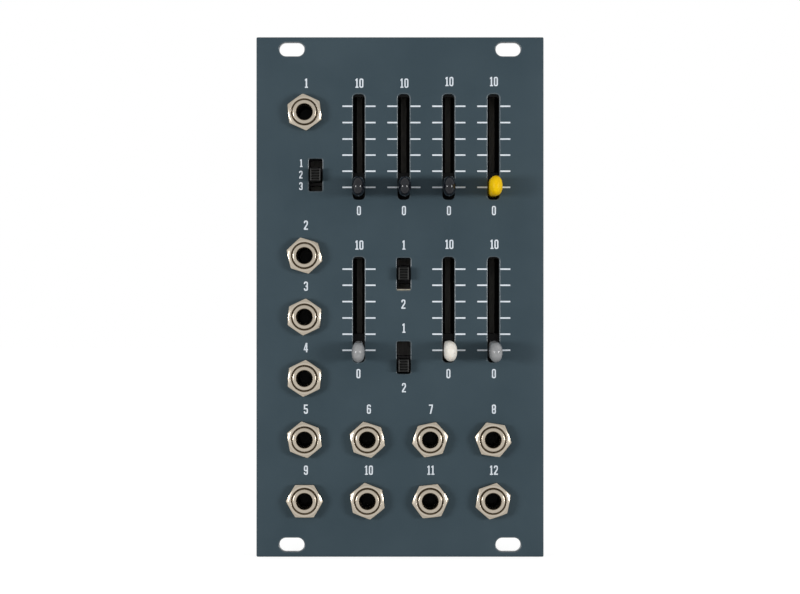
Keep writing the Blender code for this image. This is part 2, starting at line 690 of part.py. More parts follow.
def switch_body_shape():
    """A moulded box with a room for the shoe and a window for the knob."""
    box = prism(rounded_rectangle(SWITCH_WIDTH, SWITCH_LENGTH, SWITCH_CORNER), SWITCH_FRONT, SWITCH_REAR)
    pins = [
        prism(rectangle(PIN_WIDTH, PIN_THICKNESS, x, z), SWITCH_REAR - JOIN_OVERLAP, PIN_END)
        for x, z in switch_terminal_places()
    ]
    room = prism(
        rectangle(SWITCH_ROOM_WIDTH, SWITCH_ROOM_LENGTH),
        SWITCH_FRONT + SWITCH_FRONT_WALL,
        SWITCH_REAR - SWITCH_FLOOR,
    )
    window = prism(
        rounded_rectangle(WINDOW_WIDTH, WINDOW_LENGTH, WINDOW_CORNER),
        SWITCH_FRONT - CUT_OVERRUN,
        SWITCH_REAR - SWITCH_BODY_DEPTH / 2,
    )
    return solid(box, joined=pins, cut=(room, window))


def knob_shape():
    """A shoe inside the body and a finger post with grooves across its top, between two side rims."""
    shoe = prism(rectangle(SHOE_WIDTH, SHOE_LENGTH), SHOE_FRONT, SHOE_REAR)
    post = prism(
        rounded_rectangle(KNOB_WIDTH, KNOB_LENGTH, KNOB_CORNER), KNOB_FRONT, SHOE_FRONT + JOIN_OVERLAP
    )
    half_groove = KNOB_GROOVE_PITCH * KNOB_GROOVE_SHARE / 2
    groove_reach = KNOB_WIDTH / 2 - KNOB_RIM
    grooves = []
    for groove in range(GROOVE_COUNT):
        z = KNOB_GROOVE_PITCH * (groove - (GROOVE_COUNT - 1) / 2)
        outline = (
            (KNOB_FRONT - KNOB_GROOVE_DEPTH, z - 2 * half_groove),
            (KNOB_FRONT + KNOB_GROOVE_DEPTH, z),
            (KNOB_FRONT - KNOB_GROOVE_DEPTH, z + 2 * half_groove),
        )
        grooves.append(prism_across(outline, -groove_reach, groove_reach))
    return solid(post, joined=(shoe,), cut=grooves)


# Board and what stands on its rear


def pin_hole(x, z):
    clearance = 2 * PIN_HOLE_CLEARANCE
    return rectangle(PIN_WIDTH + clearance, PIN_THICKNESS + clearance, x, z)


def header_pin_places():
    """Two columns of pins, from the header's middle."""
    half = HEADER_PIN_PITCH / 2
    reach = HEADER_PIN_PITCH * (HEADER_COLUMNS - 1) / 2
    rows = [row * HEADER_PIN_PITCH - reach for row in range(HEADER_COLUMNS)]
    return [(side * half, up) for side in (-1, 1) for up in rows]


def pin_holes():
    """Every hole of the board, as an outline."""
    for _, x, z, _ in jack_places():
        yield pin_hole(x, z + LUG_TOP - LUG_THICKNESS / 2)
        for across, up in contact_places():
            yield pin_hole(x + across, z + up)
    for _, column, drop, _ in SLIDERS:
        for across, up in can_terminal_places():
            yield pin_hole(slider_x(column) + across, height(drop) + up)
    for _, x, drop, _ in SWITCHES:
        for across, up in switch_terminal_places():
            yield pin_hole(x + across, height(drop) + up)
    header_x, header_z = header_place()
    for across, up in header_pin_places():
        side = HEADER_PIN_WIDTH + 2 * HEADER_PIN_CLEARANCE
        yield rectangle(side, side, header_x + across, header_z + up)


def small_parts():
    """The chips and capacitors that are soldered flat on the board's rear, as outlines with their rears."""
    pitch = SMALL_CHIP_LENGTH + SMALL_CHIP_GAP
    row_middle = slider_x((SLIDER_COLUMN_COUNT - 1) / 2)
    z = height(UPPER_SLIDER_DROP)
    for chip in range(SMALL_CHIP_COUNT):
        x = row_middle + pitch * (chip - (SMALL_CHIP_COUNT - 1) / 2)
        yield rectangle(SMALL_CHIP_LENGTH, SMALL_CHIP_WIDTH, x, z), BOARD_REAR + SMALL_CHIP_THICKNESS
    base_side = 2 * (CAPACITOR_RADIUS + CAPACITOR_BASE_EDGE)
    z = height((UPPER_SLIDER_DROP + LOWER_SLIDER_DROP) / 2)
    for column in LAST_COLUMNS:
        x = slider_x(column)
        yield rectangle(base_side, base_side, x, z), BOARD_REAR + CAPACITOR_BASE_HEIGHT
        yield circle(CAPACITOR_RADIUS, BORE_STEPS, x, z), BOARD_REAR + CAPACITOR_HEIGHT


def board_shape():
    """A board drilled for every pin, with its flat-mounted parts fused on."""
    top = height(UPPER_SLIDER_DROP - CAN_LENGTH / 2 - BOARD_MARGIN)
    bottom = height(jack_drop(LAST_ROW) + HOUSING_BELOW + BOARD_MARGIN)
    width = PANEL_WIDTH - 2 * BOARD_SIDE_SETBACK
    outline = rounded_rectangle(width, top - bottom, BOARD_CORNER, z=(top + bottom) / 2)
    board = prism(outline, BOARD_FRONT, BOARD_REAR)
    parts = [prism(shape, BOARD_REAR - JOIN_OVERLAP, rear) for shape, rear in small_parts()]
    holes = [(hole, BOARD_FRONT - CUT_OVERRUN, BOARD_REAR + CUT_OVERRUN) for hole in pin_holes()]
    return solid(board, joined=parts, cut=(prisms(holes),))


def header_shape():
    """A shroud with a key notch in one long side, round two columns of pins cut flush with the board."""
    box = prism(rectangle(HEADER_WIDTH, HEADER_LENGTH), HEADER_FRONT, HEADER_REAR)
    room = prism(
        rectangle(HEADER_WIDTH - 2 * HEADER_WALL, HEADER_LENGTH - 2 * HEADER_WALL),
        HEADER_FRONT + HEADER_FLOOR,
        HEADER_REAR + CUT_OVERRUN,
    )
    key = prism(
        rectangle(2 * HEADER_WALL + CUT_OVERRUN, HEADER_KEY_WIDTH, HEADER_WIDTH / 2),
        HEADER_FRONT + HEADER_FLOOR + HEADER_WALL,
        HEADER_REAR + CUT_OVERRUN,
    )
    shroud = solid(box, cut=(room, key))
    pins = [
        prism(
            rectangle(HEADER_PIN_WIDTH, HEADER_PIN_WIDTH, x, z),
            BOARD_FRONT,
            HEADER_REAR - HEADER_PIN_END_GAP,
        )
        for x, z in header_pin_places()
    ]
    return solid(shroud, joined=pins)


def main_chip_shape():
    """A flat square package with a thinner skirt where its leads are."""
    side = MAIN_CHIP_SIDE
    skirt_side = side + 2 * MAIN_CHIP_LEAD_REACH
    front = BOARD_REAR + SEAT_GAP
    rear = front + MAIN_CHIP_THICKNESS
    skirt = prism(rectangle(skirt_side, skirt_side), front, front + MAIN_CHIP_LEAD_THICKNESS)
    package = prism(rectangle(side, side), front, rear)
    return solid(package, joined=(skirt,))


# The whole module


def clear_scene():
    for left_over in list(bpy.data.objects):
        bpy.data.objects.remove(left_over)


def add_jacks(nickel, plate_metal, black):
    nut = dressed(nut_shape(), nickel, smooth=True)
    bushing = dressed(bushing_shape(), plate_metal, smooth=True)
    housing = dressed(housing_shape(), black)
    for name, x, z, turn in jack_places():
        place(f"{name}_jack_nut", nut, x, z, turn)
        place(f"{name}_jack_bushing", bushing, x, z)
        place(f"{name}_jack_housing", housing, x, z)


def add_sliders(can_finish, lever_finishes):
    can = dressed(can_shape(), can_finish)
    levers = {}
    for name, column, drop, colour in SLIDERS:
        if colour not in levers:
            levers[colour] = dressed(lever_shape(), lever_finishes[colour], smooth=True)
        x, z = slider_x(column), height(drop)
        place(f"{name}_slider_can", can, x, z)
        place(f"{name}_slider_lever", levers[colour], x, z - SLIDER_TRAVEL / 2)


def add_switches(black, knob_black):
    body = dressed(switch_body_shape(), black)
    knob = dressed(knob_shape(), knob_black)
    for name, x, drop, rest_share in SWITCHES:
        z = height(drop)
        place(f"{name}_switch_body", body, x, z)
        place(f"{name}_switch_knob", knob, x, z + SWITCH_TRAVEL * rest_share)


def build():
    clear_scene()
    slate = finish("slate_paint", (0.048, 0.074, 0.090), 0.45)
    nickel = finish("nickel", (0.62, 0.56, 0.48), 0.25, metallic=1.0)
    plate_metal = finish("tinned_brass", (0.62, 0.57, 0.50), 0.3, metallic=1.0)
    black = finish("black_moulding", (0.018, 0.018, 0.019), 0.5)
    can_finish = finish("black_steel", (0.02, 0.02, 0.02), 0.35, metallic=0.6)
    knob_black = finish("black_knob", (0.012, 0.012, 0.013), 0.4)
    lever_finishes = {
        "smoke": finish("smoke_lens", (0.03, 0.03, 0.033), 0.1, transmission=0.3),
        "yellow": finish("yellow_lens", (0.85, 0.55, 0.01), 0.25, transmission=0.1),
        "grey": finish("grey_lens", (0.30, 0.30, 0.31), 0.15, transmission=0.4),
        "white": finish("white_lens", (0.82, 0.80, 0.76), 0.25, transmission=0.1),
    }
    green = finish("green_board", (0.01, 0.08, 0.03), 0.4)
    place("front_panel", dressed(panel_shape(), slate))
    add_jacks(nickel, plate_metal, black)
    add_sliders(can_finish, lever_finishes)
    add_switches(black, knob_black)
    place("control_board", dressed(board_shape(), green))
    place("power_header", dressed(header_shape(), black), *header_place())
    place("main_chip", dressed(main_chip_shape(), black), *main_chip_place())


build()
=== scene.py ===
import math

import bmesh
import bpy
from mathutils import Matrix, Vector


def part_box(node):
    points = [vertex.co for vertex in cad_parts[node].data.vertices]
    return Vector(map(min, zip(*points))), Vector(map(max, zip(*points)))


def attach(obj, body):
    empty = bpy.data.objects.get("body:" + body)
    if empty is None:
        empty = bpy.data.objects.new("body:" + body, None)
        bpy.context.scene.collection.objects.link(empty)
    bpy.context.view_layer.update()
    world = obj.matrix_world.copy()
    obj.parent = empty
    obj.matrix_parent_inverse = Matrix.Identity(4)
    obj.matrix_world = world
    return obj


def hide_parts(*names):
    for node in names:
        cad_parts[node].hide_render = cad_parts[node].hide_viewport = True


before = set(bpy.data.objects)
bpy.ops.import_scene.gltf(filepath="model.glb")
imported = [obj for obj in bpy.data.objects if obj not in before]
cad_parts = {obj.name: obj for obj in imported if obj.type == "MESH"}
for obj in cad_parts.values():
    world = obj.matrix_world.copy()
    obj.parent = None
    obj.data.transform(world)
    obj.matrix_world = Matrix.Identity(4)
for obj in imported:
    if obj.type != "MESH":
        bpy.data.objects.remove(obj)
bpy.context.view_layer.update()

# Every length is in metres. The panel faces -Y and +Z is up. Depths are places along Y.
PANEL_TOP, PANEL_BOTTOM = 0.1255, -0.003
PANEL_WIDTH = 0.07102
PANEL_FRONT, PANEL_REAR = -0.002, 0.0
PRINT_THICKNESS, PRINT_ROOT = 0.00003, 0.00001
BOARD_FRONT, BOARD_REAR = 0.0103, 0.0119
PIN_TAIL_FROM = 0.01002
SAME_POINT = 0.000001
SMOOTH_DEGREES = 35
QUARTER = math.pi / 2

JACK_TURNS = {
    "gate": -5.7, "signal_in": -13.0, "reference_in": 4.3, "modulation_out": 4.0,
    "envelope_out": -9.0, "pitch_in": -12.0, "oscillator_out": 18.0, "depth_in": -21.0,
    "attack_in": 30.0, "decay_in": -8.6, "sustain_in": 23.6, "release_in": 11.0,
}
LEVER_TINTS = {
    "attack": "smoke", "decay": "smoke", "sustain": "smoke", "release": "yellow",
    "envelope_amount": "grey", "speed": "white", "depth": "grey",
}
SWITCHES = ("waveform", "speed_depth", "vco_lfo")


def middle(node):
    low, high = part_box(node)
    return (low + high) / 2


JACK_AXES = {name: middle(f"{name}_jack_nut") for name in JACK_TURNS}
SLIDER_MIDDLES = {name: middle(f"{name}_slider_can") for name in LEVER_TINTS}
SWITCH_MIDDLES = {name: middle(f"{name}_switch_body") for name in SWITCHES}
HEADER_MIDDLE = middle("power_header")
MAIN_CHIP_MIDDLE = middle("main_chip")


# Finishes

# Each one: deep and pale tones as a screen shows them, limits of roughness, scales of mottle and grain, lift
# of the grain, metal, specular level, other sockets, and stretch of the grain, with None for turned rings
FINISH_TABLE = {
    "slate_paint": ((56, 71, 79), (61, 76, 84), (0.42, 0.58), 60, 5000, 0.06, 0, 0.12),
    "painted_edge": ((60, 74, 82), (72, 84, 90), (0.2, 0.32), 400, 4000, 0.1, 0, 0.55),
    "bare_aluminium": ((166, 164, 158), (176, 174, 168), (0.3, 0.42), 50, 2200, 0.06, 1, 0.5, {}, (0.06, 1, 1)),
    "bare_lip_metal": ((112, 110, 104), (154, 148, 132), (0.3, 0.5), 900, 5000, 0.1, 1, 0.5, {}, (1, 1, 4)),
    "white_print": ((214, 222, 230), (226, 233, 240), (0.45, 0.6), 300, 6000, 0.05, 0, 0.3),
    "turned_nickel": ((166, 156, 141), (184, 175, 161), (0.16, 0.32), 2600, 9000, 0.1, 1, 0.5, {}, None),
    "sheet_nickel": ((176, 168, 155), (196, 189, 176), (0.2, 0.36), 400, 3000, 0.05, 1, 0.5, {}, (1, 1, 8)),
    "tin": ((168, 168, 166), (196, 196, 194), (0.28, 0.45), 500, 5000, 0.08, 1),
    "solder": ((172, 172, 172), (205, 205, 204), (0.3, 0.46), 900, 4000, 0.12, 0.85),
    "gold_plate": ((196, 158, 84), (214, 178, 104), (0.18, 0.3), 400, 4000, 0.04, 1),
    "black_moulding": ((18, 18, 19), (26, 26, 27), (0.38, 0.55), 150, 6000, 0.1, 0, 0.2),
    "can_black": ((14, 14, 15), (21, 20, 21), (0.3, 0.45), 120, 3500, 0.08, 0, 0.16, {}, (1, 1, 0.15)),
    "knob_black": ((19, 19, 19), (25, 25, 25), (0.34, 0.46), 300, 7000, 0.06, 0, 0.1),
    # The knob's rails and ribs are lighter blacks than its post: painted highlights on the rail edges and rib
    # crests
    "rails_black_with_painted_highlight": ((40, 40, 39), (51, 51, 50), (0.26, 0.4), 900, 7000, 0.06, 0, 0.2),
    "ribs_black_with_painted_highlight": ((25, 26, 25), (37, 37, 36), (0.3, 0.42), 900, 7000, 0.06, 0, 0.15),
    "chip_epoxy": ((26, 26, 27), (34, 34, 35), (0.6, 0.75), 300, 9000, 0.15, 0, 0.3),
    "slider_wafer": ((108, 105, 101), (122, 118, 112), (0.4, 0.55), 300, 4000, 0.1, 0, 0.1, {}, (4, 1, 1)),
    "switch_wafer": ((182, 176, 174), (200, 194, 190), (0.45, 0.6), 500, 4000, 0.1, 0, 0.2, {}, (4, 1, 1)),
    "shoe_grey": ((88, 84, 86), (100, 96, 98), (0.35, 0.5), 300, 5000, 0.06, 0, 0.2),
    "carbon_track": ((12, 12, 12), (18, 17, 17), (0.45, 0.6), 500, 8000, 0.08, 0, 0.04, {}, (1, 1, 0.1)),
    "laminate_edge": ((120, 112, 66), (160, 150, 96), (0.6, 0.8), 800, 3000, 0.2, 0, 0.5, {}, (0.3, 6, 0.3)),
    "ceramic_tan": ((150, 118, 84), (172, 138, 100), (0.45, 0.6), 900, 8000, 0.06),
    "can_aluminium": ((190, 190, 190), (214, 214, 214), (0.36, 0.5), 300, 3000, 0.05, 0.6),
    "smoke_lens": (
        (18, 20, 27), (28, 31, 38), (0.07, 0.12), 500, 5000, 0.03, 0, 0.23,
        {"Transmission Weight": 0.25, "IOR": 1.5}),
    "yellow_lens": ((238, 190, 0), (248, 204, 3), (0.34, 0.46), 700, 5000, 0.05, 0, 0.13, {"IOR": 1.5}),
    "grey_lens": ((139, 140, 142), (154, 155, 156), (0.1, 0.14), 900, 5000, 0.02, 0, 0.5, {"IOR": 1.5}),
    "white_lens": (
        (232, 227, 217), (243, 239, 230), (0.24, 0.36), 900, 5000, 0.06, 0, 0.3,
        {"Subsurface Weight": 0.4, "Subsurface Radius": (1, 0.95, 0.85), "Subsurface Scale": 0.0008,
         "IOR": 1.5}),
    "solder_mask": ((10, 62, 36), (16, 74, 44), (0.25, 0.38), 90, 3500, 0.05, 0, 0.35),
}
GRAIN_RELIEF = 0.0001
TRACK_GREEN = (34, 104, 62)
TRACK_SCALE, TRACK_EDGE, TRACK_CELLS = 260, 0.82, 110


def tone(values):
    """A colour given as it looks on a screen, from 0 to 255."""
    shares = [value / 255 for value in values]
    return (*(v / 12.92 if v <= 0.04045 else ((v + 0.055) / 1.055) ** 2.4 for v in shares), 1)


def feed(tree, node, inputs):
    """Gives each input of a node its value, or wires it to another node's output."""
    for socket, value in inputs.items():
        if isinstance(value, bpy.types.NodeSocket):
            tree.links.new(value, node.inputs[socket])
        else:
            node.inputs[socket].default_value = value


def add_node(tree, kind, inputs=None, **settings):
    node = tree.nodes.new(kind)
    for setting, value in settings.items():
        setattr(node, setting, value)
    feed(tree, node, inputs or {})
    return node


def reckon(tree, operation, *terms):
    """The result of a Math node, whose terms are numbers or other nodes' outputs."""
    return add_node(tree, "ShaderNodeMath", dict(enumerate(terms)), operation=operation).outputs["Value"]


def turning_marks(tree):
    """Rings about the piece's own axis, read from the place of each point beside that axis."""
    beside = add_node(tree, "ShaderNodeAttribute", attribute_name="beside_axis").outputs["Vector"]
    flat = add_node(tree, "ShaderNodeVectorMath", {0: beside, 1: (1, 0, 1)}, operation="MULTIPLY")
    radius = add_node(tree, "ShaderNodeVectorMath", {0: flat.outputs["Vector"]}, operation="LENGTH")
    split = add_node(tree, "ShaderNodeSeparateXYZ", {"Vector": beside})
    joined = {"X": radius.outputs["Value"], "Y": split.outputs["Y"]}
    return add_node(tree, "ShaderNodeCombineXYZ", joined).outputs["Vector"]


def finish(name, deep, pale, rough, mottle, grain, lift, metal=0, level=0.5, others=None, stretch=(1, 1, 1)):
    """A surface whose colour drifts between two tones, with a fine grain in its gloss and its relief."""
    material = bpy.data.materials.new(name)
    material.use_nodes = True
    tree = material.node_tree
    if stretch is None:
        source = turning_marks(tree)
    else:
        place = add_node(tree, "ShaderNodeTexCoord").outputs["Object"]
        source = add_node(tree, "ShaderNodeMapping", {"Vector": place, "Scale": stretch}).outputs["Vector"]
    drift = add_node(tree, "ShaderNodeTexNoise", {"Vector": source, "Scale": mottle, "Detail": 3})
    fine = add_node(tree, "ShaderNodeTexNoise", {"Vector": source, "Scale": grain, "Detail": 4})
    tones = add_node(tree, "ShaderNodeValToRGB", {"Fac": drift.outputs["Fac"]}, name="tones")
    for stop, share, colour in zip(tones.color_ramp.elements, (0.35, 0.65), (deep, pale)):
        stop.position, stop.color = share, tone(colour)
    gloss = add_node(tree, "ShaderNodeMapRange", {
        "Value": fine.outputs["Fac"], "To Min": rough[0], "To Max": rough[1]})
    relief = add_node(tree, "ShaderNodeBump", {
        "Height": fine.outputs["Fac"], "Strength": lift, "Distance": GRAIN_RELIEF})
    feed(tree, tree.nodes["Principled BSDF"], {
        "Base Color": tones.outputs["Color"], "Roughness": gloss.outputs["Result"],
        "Normal": relief.outputs["Normal"], "Metallic": metal, "Specular IOR Level": level, **(others or {})})
    return material


def lay_tracks(material, across, low, high):
    """Straight tracks under the mask, across one axis, in the square cells between two chances."""
    tree = material.node_tree
    place = add_node(tree, "ShaderNodeTexCoord").outputs["Object"]
    cells = add_node(
        tree, "ShaderNodeTexVoronoi", {"Vector": place, "Scale": TRACK_CELLS}, distance="CHEBYCHEV")
    chance = add_node(tree, "ShaderNodeSeparateColor", {"Color": cells.outputs["Color"]})
    wave = add_node(
        tree, "ShaderNodeTexWave", {"Vector": place, "Scale": TRACK_SCALE}, bands_direction=across)
    on_track = reckon(tree, "GREATER_THAN", wave.outputs["Fac"], TRACK_EDGE)
    in_cell = reckon(tree, "COMPARE", chance.outputs["Red"], (low + high) / 2, (high - low) / 2)
    shader = tree.nodes["Principled BSDF"]
    blend = add_node(tree, "ShaderNodeMix", {
        "Factor": reckon(tree, "MULTIPLY", on_track, in_cell),
        "A": shader.inputs["Base Color"].links[0].from_socket, "B": tone(TRACK_GREEN)}, data_type="RGBA")
    feed(tree, shader, {"Base Color": blend.outputs["Result"]})


FINISHES = {name: finish(name, *recipe) for name, recipe in FINISH_TABLE.items()}
lay_tracks(FINISHES["solder_mask"], "Z", 0.0, 0.38)
lay_tracks(FINISHES["solder_mask"], "X", 0.38, 0.74)


# Pieces


def show(name, mesh, finishes, instead_of=None, body="module"):
    """A finished piece that rides on a body and stands for a CAD node, or adds to one."""
    obj = bpy.data.objects.new(name, mesh)
    bpy.context.scene.collection.objects.link(obj)
    for made in finishes:
        mesh.materials.append(FINISHES[made])
    mesh.shade_smooth()
    mesh.set_sharp_from_angle(angle=math.radians(SMOOTH_DEGREES))
    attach(obj, body)
    if instead_of:
        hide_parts(instead_of)
    return obj


def closed(bm):
    """The mesh of a finished shape, with its faces turned outward."""
    bmesh.ops.recalc_face_normals(bm, faces=bm.faces)
    mesh = bpy.data.meshes.new("shape")
    bm.to_mesh(mesh)
    bm.free()
    return mesh


def beside_axis(mesh, axis):
    """Notes the place of each point beside the piece's own axis, for its turning marks."""
    noted = mesh.attributes.new("beside_axis", "FLOAT_VECTOR", "POINT")
    for vertex, place in zip(mesh.vertices, noted.data):
        place.vector = (vertex.co.x - axis.x, vertex.co.y, vertex.co.z - axis.z)
    return mesh


def band(bm, near, far, surface=0):
    """Faces between two closed loops with as many points in each."""
    for start in range(len(near)):
        face = bm.faces.new((near[start - 1], near[start], far[start], far[start - 1]))
        face.material_index = surface


def loft(bm, rings, surface=0):
    """A closed skin through rings of points, with as many points in each."""
    loops = [[bm.verts.new(point) for point in ring] for ring in rings]
    for near, far in zip(loops, loops[1:]):
        band(bm, near, far, surface)
    for end in (loops[0], loops[-1]):
        bm.faces.new(end).material_index = surface


def turned(bm, axis, angles, wall):
    """A ring turned about an axis along Y. The wall gives the closed outline at each angle."""
    loops = []
    for angle in angles:
        across, up = math.cos(angle), math.sin(angle)
        loops.append([bm.verts.new((axis.x + r * across, y, axis.z + r * up)) for r, y in wall(angle)])
    for step in range(len(loops)):
        band(bm, loops[step - 1], loops[step])


def ring(outline, depth, x=0.0, z=0.0):
    return [(x + across, depth, z + up) for across, up in outline]


def even_angles(steps):
    return [math.tau * step / steps for step in range(steps)]


def rectangle(width, length, x, z):
    corners = ((-1, -1), (1, -1), (1, 1), (-1, 1))
    return [(x + sx * width / 2, z + sz * length / 2) for sx, sz in corners]


def rounded(width, length, radius, x=0.0, z=0.0, steps=4):
    """A rectangle whose corners are arcs. Where two arcs meet, their shared point is kept once."""
    points = []
    for corner, (sx, sz) in enumerate(((1, 1), (-1, 1), (-1, -1), (1, -1))):
        for step in range(steps + 1):
            angle = QUARTER * (corner + step / steps)
            points.append((
                x + sx * (width / 2 - radius) + radius * math.cos(angle),
                z + sz * (length / 2 - radius) + radius * math.sin(angle)))
    return [p for p, before in zip(points, points[-1:] + points[:-1]) if math.dist(p, before) > SAME_POINT]


def circle(radius, x, z, steps=64):
    return [(x + radius * math.cos(angle), z + radius * math.sin(angle)) for angle in even_angles(steps)]


def superellipse(width, length, power):
    points = []
    for angle in even_angles(48):
        across, up = math.cos(angle), math.sin(angle)
        points.append((
            math.copysign(abs(across) ** (2 / power), across) * width / 2,
            math.copysign(abs(up) ** (2 / power), up) * length / 2))
    return points


def moved_in(outline, distance):
    """The outline with each point moved to the left of its run."""
    made = []
    for index, (x, z) in enumerate(outline):
        before, after = outline[index - 1], outline[(index + 1) % len(outline)]
        first = Vector((x - before[0], z - before[1])).normalized()
        second = Vector((after[0] - x, after[1] - z)).normalized()
        normal = Vector((-first.y - second.y, first.x + second.x)).normalized()
        reach = distance / max(0.3, normal.dot(Vector((-first.y, first.x))))
        made.append((x + normal.x * reach, z + normal.y * reach))
    return made


def edge_levels(front, rear, edge, shares):
    """How far in and how deep an outline lies on its way round a front edge and a rear edge."""
    levels = []
    for share in shares:
        angle = QUARTER * share
        levels.append((edge * (1 - math.sin(angle)), front + edge * (1 - math.cos(angle))))
    return levels + [(inset, front + rear - depth) for inset, depth in levels[::-1]]


def pierced_plate(bm, outline, holes, front, rear, edge, surfaces=(0, 0, 0), steps=1):
    """A flat plate with rounded edges. Its surfaces are of its front and sides, its holes and its rear."""
    caps = {front: [], rear: []}
    levels = edge_levels(front, rear, edge, [step / steps for step in range(steps + 1)])
    for index, loop in enumerate([outline, *[hole[::-1] for hole in holes]]):
        loops = [[bm.verts.new((x, depth, z)) for x, z in moved_in(loop, inset)] for inset, depth in levels]
        for near, far in zip(loops, loops[1:]):
            band(bm, near, far, surfaces[1] if index else surfaces[0])
        for depth, points in ((front, loops[0]), (rear, loops[-1])):
            for start in range(len(points)):
                caps[depth].append(bm.edges.get((points[start - 1], points[start])))
    for depth, edges in caps.items():
        filled = bmesh.ops.triangle_fill(bm, edges=edges, use_beauty=True)
        for face in filled["geom"]:
            if isinstance(face, bmesh.types.BMFace):
                face.material_index = surfaces[0] if depth == front else surfaces[2]


def block(bm, width, length, front, rear, edge, corner, x=0.0, z=0.0, surface=0):
    """A box with rounded corners along Y and softened front and rear edges."""
    loft(bm, [
        ring(rounded(width - 2 * inset, length - 2 * inset, max(corner - inset, edge / 5), x, z), depth)
        for inset, depth in edge_levels(front, rear, edge, (0.0, 0.3, 0.65, 1.0))
    ], surface)


def refined(node, edge, is_second):
    """A merged copy of a CAD node with softened edges. The second surface is where the given test holds."""
    bm = bmesh.new()
    bm.from_mesh(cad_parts[node].data)
    bmesh.ops.remove_doubles(bm, verts=bm.verts, dist=SAME_POINT)
    bmesh.ops.dissolve_limit(bm, angle_limit=math.radians(1), verts=bm.verts, edges=bm.edges)
    steep = math.radians(SMOOTH_DEGREES)
    sharp = [e for e in bm.edges if len(e.link_faces) == 2 and e.calc_face_angle() > steep]
    bmesh.ops.bevel(bm, geom=sharp, offset=edge, segments=2, profile=0.5, affect="EDGES", clamp_overlap=True)
    for face in bm.faces:
        face.material_index = int(all(is_second(vertex.co) for vertex in face.verts))
    return closed(bm)


def is_pin(point):
    return point.y > PIN_TAIL_FROM


# Geometry Nodes: one shape stood on every point


def build_repeater():
    """A tree that stands a shape on each point, sized along its own axes and turned about Y."""
    tree = bpy.data.node_groups.new("stand_on_points", "GeometryNodeTree")
    inputs = (
        ("Points", "Geometry"), ("Shape", "Object"), ("Finish", "Material"), ("Width", "Float"),
        ("Depth", "Float"), ("Height", "Float"), ("Uneven turn", "Float"), ("Seed", "Int"))
    for label, kind in inputs:
        tree.interface.new_socket(label, in_out="INPUT", socket_type=f"NodeSocket{kind}")
    tree.interface.new_socket("Pieces", in_out="OUTPUT", socket_type="NodeSocketGeometry")
    given = add_node(tree, "NodeGroupInput").outputs
    shape = add_node(tree, "GeometryNodeObjectInfo", {"Object": given["Shape"]})
    size = add_node(tree, "ShaderNodeCombineXYZ", {
        "X": given["Width"], "Y": given["Depth"], "Z": given["Height"]})
    chance = add_node(tree, "FunctionNodeRandomValue", {
        2: reckon(tree, "MULTIPLY", given["Uneven turn"], -1), 3: given["Uneven turn"],
        "Seed": given["Seed"]}, data_type="FLOAT")
    noted = add_node(tree, "GeometryNodeInputNamedAttribute", {"Name": "turn"}, data_type="FLOAT")
    turn = add_node(tree, "ShaderNodeCombineXYZ", {
        "Y": reckon(tree, "ADD", noted.outputs["Attribute"], chance.outputs[1])})
    stand = add_node(tree, "GeometryNodeInstanceOnPoints", {
        "Points": given["Points"], "Instance": shape.outputs["Geometry"],
        "Rotation": turn.outputs["Vector"], "Scale": size.outputs["Vector"]})
    whole = add_node(tree, "GeometryNodeRealizeInstances", {"Geometry": stand.outputs["Instances"]})
    dressed = add_node(tree, "GeometryNodeSetMaterial", {
        "Geometry": whole.outputs["Geometry"], "Material": given["Finish"]})
    add_node(tree, "NodeGroupOutput", {"Pieces": dressed.outputs["Geometry"]})
    return tree


REPEATER = build_repeater()


def repeat(name, shape, places, surface, size, uneven=0.0, seed=1):
    """The shape at every place, given as x, y, z and a turn, made into one plain mesh."""
    points = bpy.data.meshes.new(name + "_points")
    points.from_pydata([place[:3] for place in places], [], [])
    turns = points.attributes.new("turn", "FLOAT", "POINT")
    for noted, place in zip(turns.data, places):
        noted.value = place[3] if len(place) > 3 else 0.0
    carrier = bpy.data.objects.new(name + "_carrier", points)
    sample = bpy.data.objects.new(name + "_sample", shape)
    modifier = carrier.modifiers.new("stand", "NODES")
    modifier.node_group = REPEATER
    values = {
        "Shape": sample, "Finish": FINISHES[surface], "Width": size[0], "Depth": size[1], "Height": size[2],
        "Uneven turn": uneven, "Seed": seed,
    }
    for item in REPEATER.interface.items_tree:
        if item.in_out == "INPUT" and item.name in values:
            modifier[item.identifier] = values[item.name]
    for helper in (carrier, sample):
        bpy.context.scene.collection.objects.link(helper)
    graph = bpy.context.evaluated_depsgraph_get()
    mesh = bpy.data.meshes.new_from_object(carrier.evaluated_get(graph))
    carrier.modifiers.clear()
    for helper in (carrier, sample):
        bpy.data.objects.remove(helper)
    mesh.materials.clear()
    return show(name, mesh, (surface,))


def lofted(rings):
    bm = bmesh.new()
    loft(bm, rings)
    return closed(bm)


def unit_bar():
    """A bar with soft edges, one unit wide, thick and high."""
    bm = bmesh.new()
    block(bm, 1, 1, -0.5, 0.5, 0.06, 0.1)
    return closed(bm)


def print_bar():
    """A flat printed bar with soft corners, one unit long, thick and high."""
    outline = rounded(1, 1, 0.08, steps=2)
    return lofted([ring(outline, 0), ring(outline, 1)])


def solder_cone():
    """A hollow-sided cone of solder on a round pad, one unit high and wide."""
    rows = (
        (0.5, 0.0), (0.49, 0.05), (0.4, 0.14), (0.31, 0.28), (0.24, 0.48), (0.2, 0.72), (0.16, 0.92),
        (0.08, 1.0))
    return lofted([ring(circle(radius, 0, 0, 12), depth) for radius, depth in rows])


def gull_lead():
    """A flat lead that leaves a chip's side, bends down and lies on its pad. One unit long, along +X."""
    top = ((0.0, 1.0), (0.36, 1.0), (0.46, 0.93), (0.6, 0.2), (0.68, 0.14), (1.0, 0.14))
    bottom = ((1.0, 0.0), (0.62, 0.0), (0.52, 0.08), (0.38, 0.82), (0.33, 0.86), (0.0, 0.86))
    return lofted([[(x, y, z) for x, y in top + bottom] for z in (-0.5, 0.5)])


# Front panel

PLATE_CORNER, PLATE_EDGE = 0.0003, 0.00024
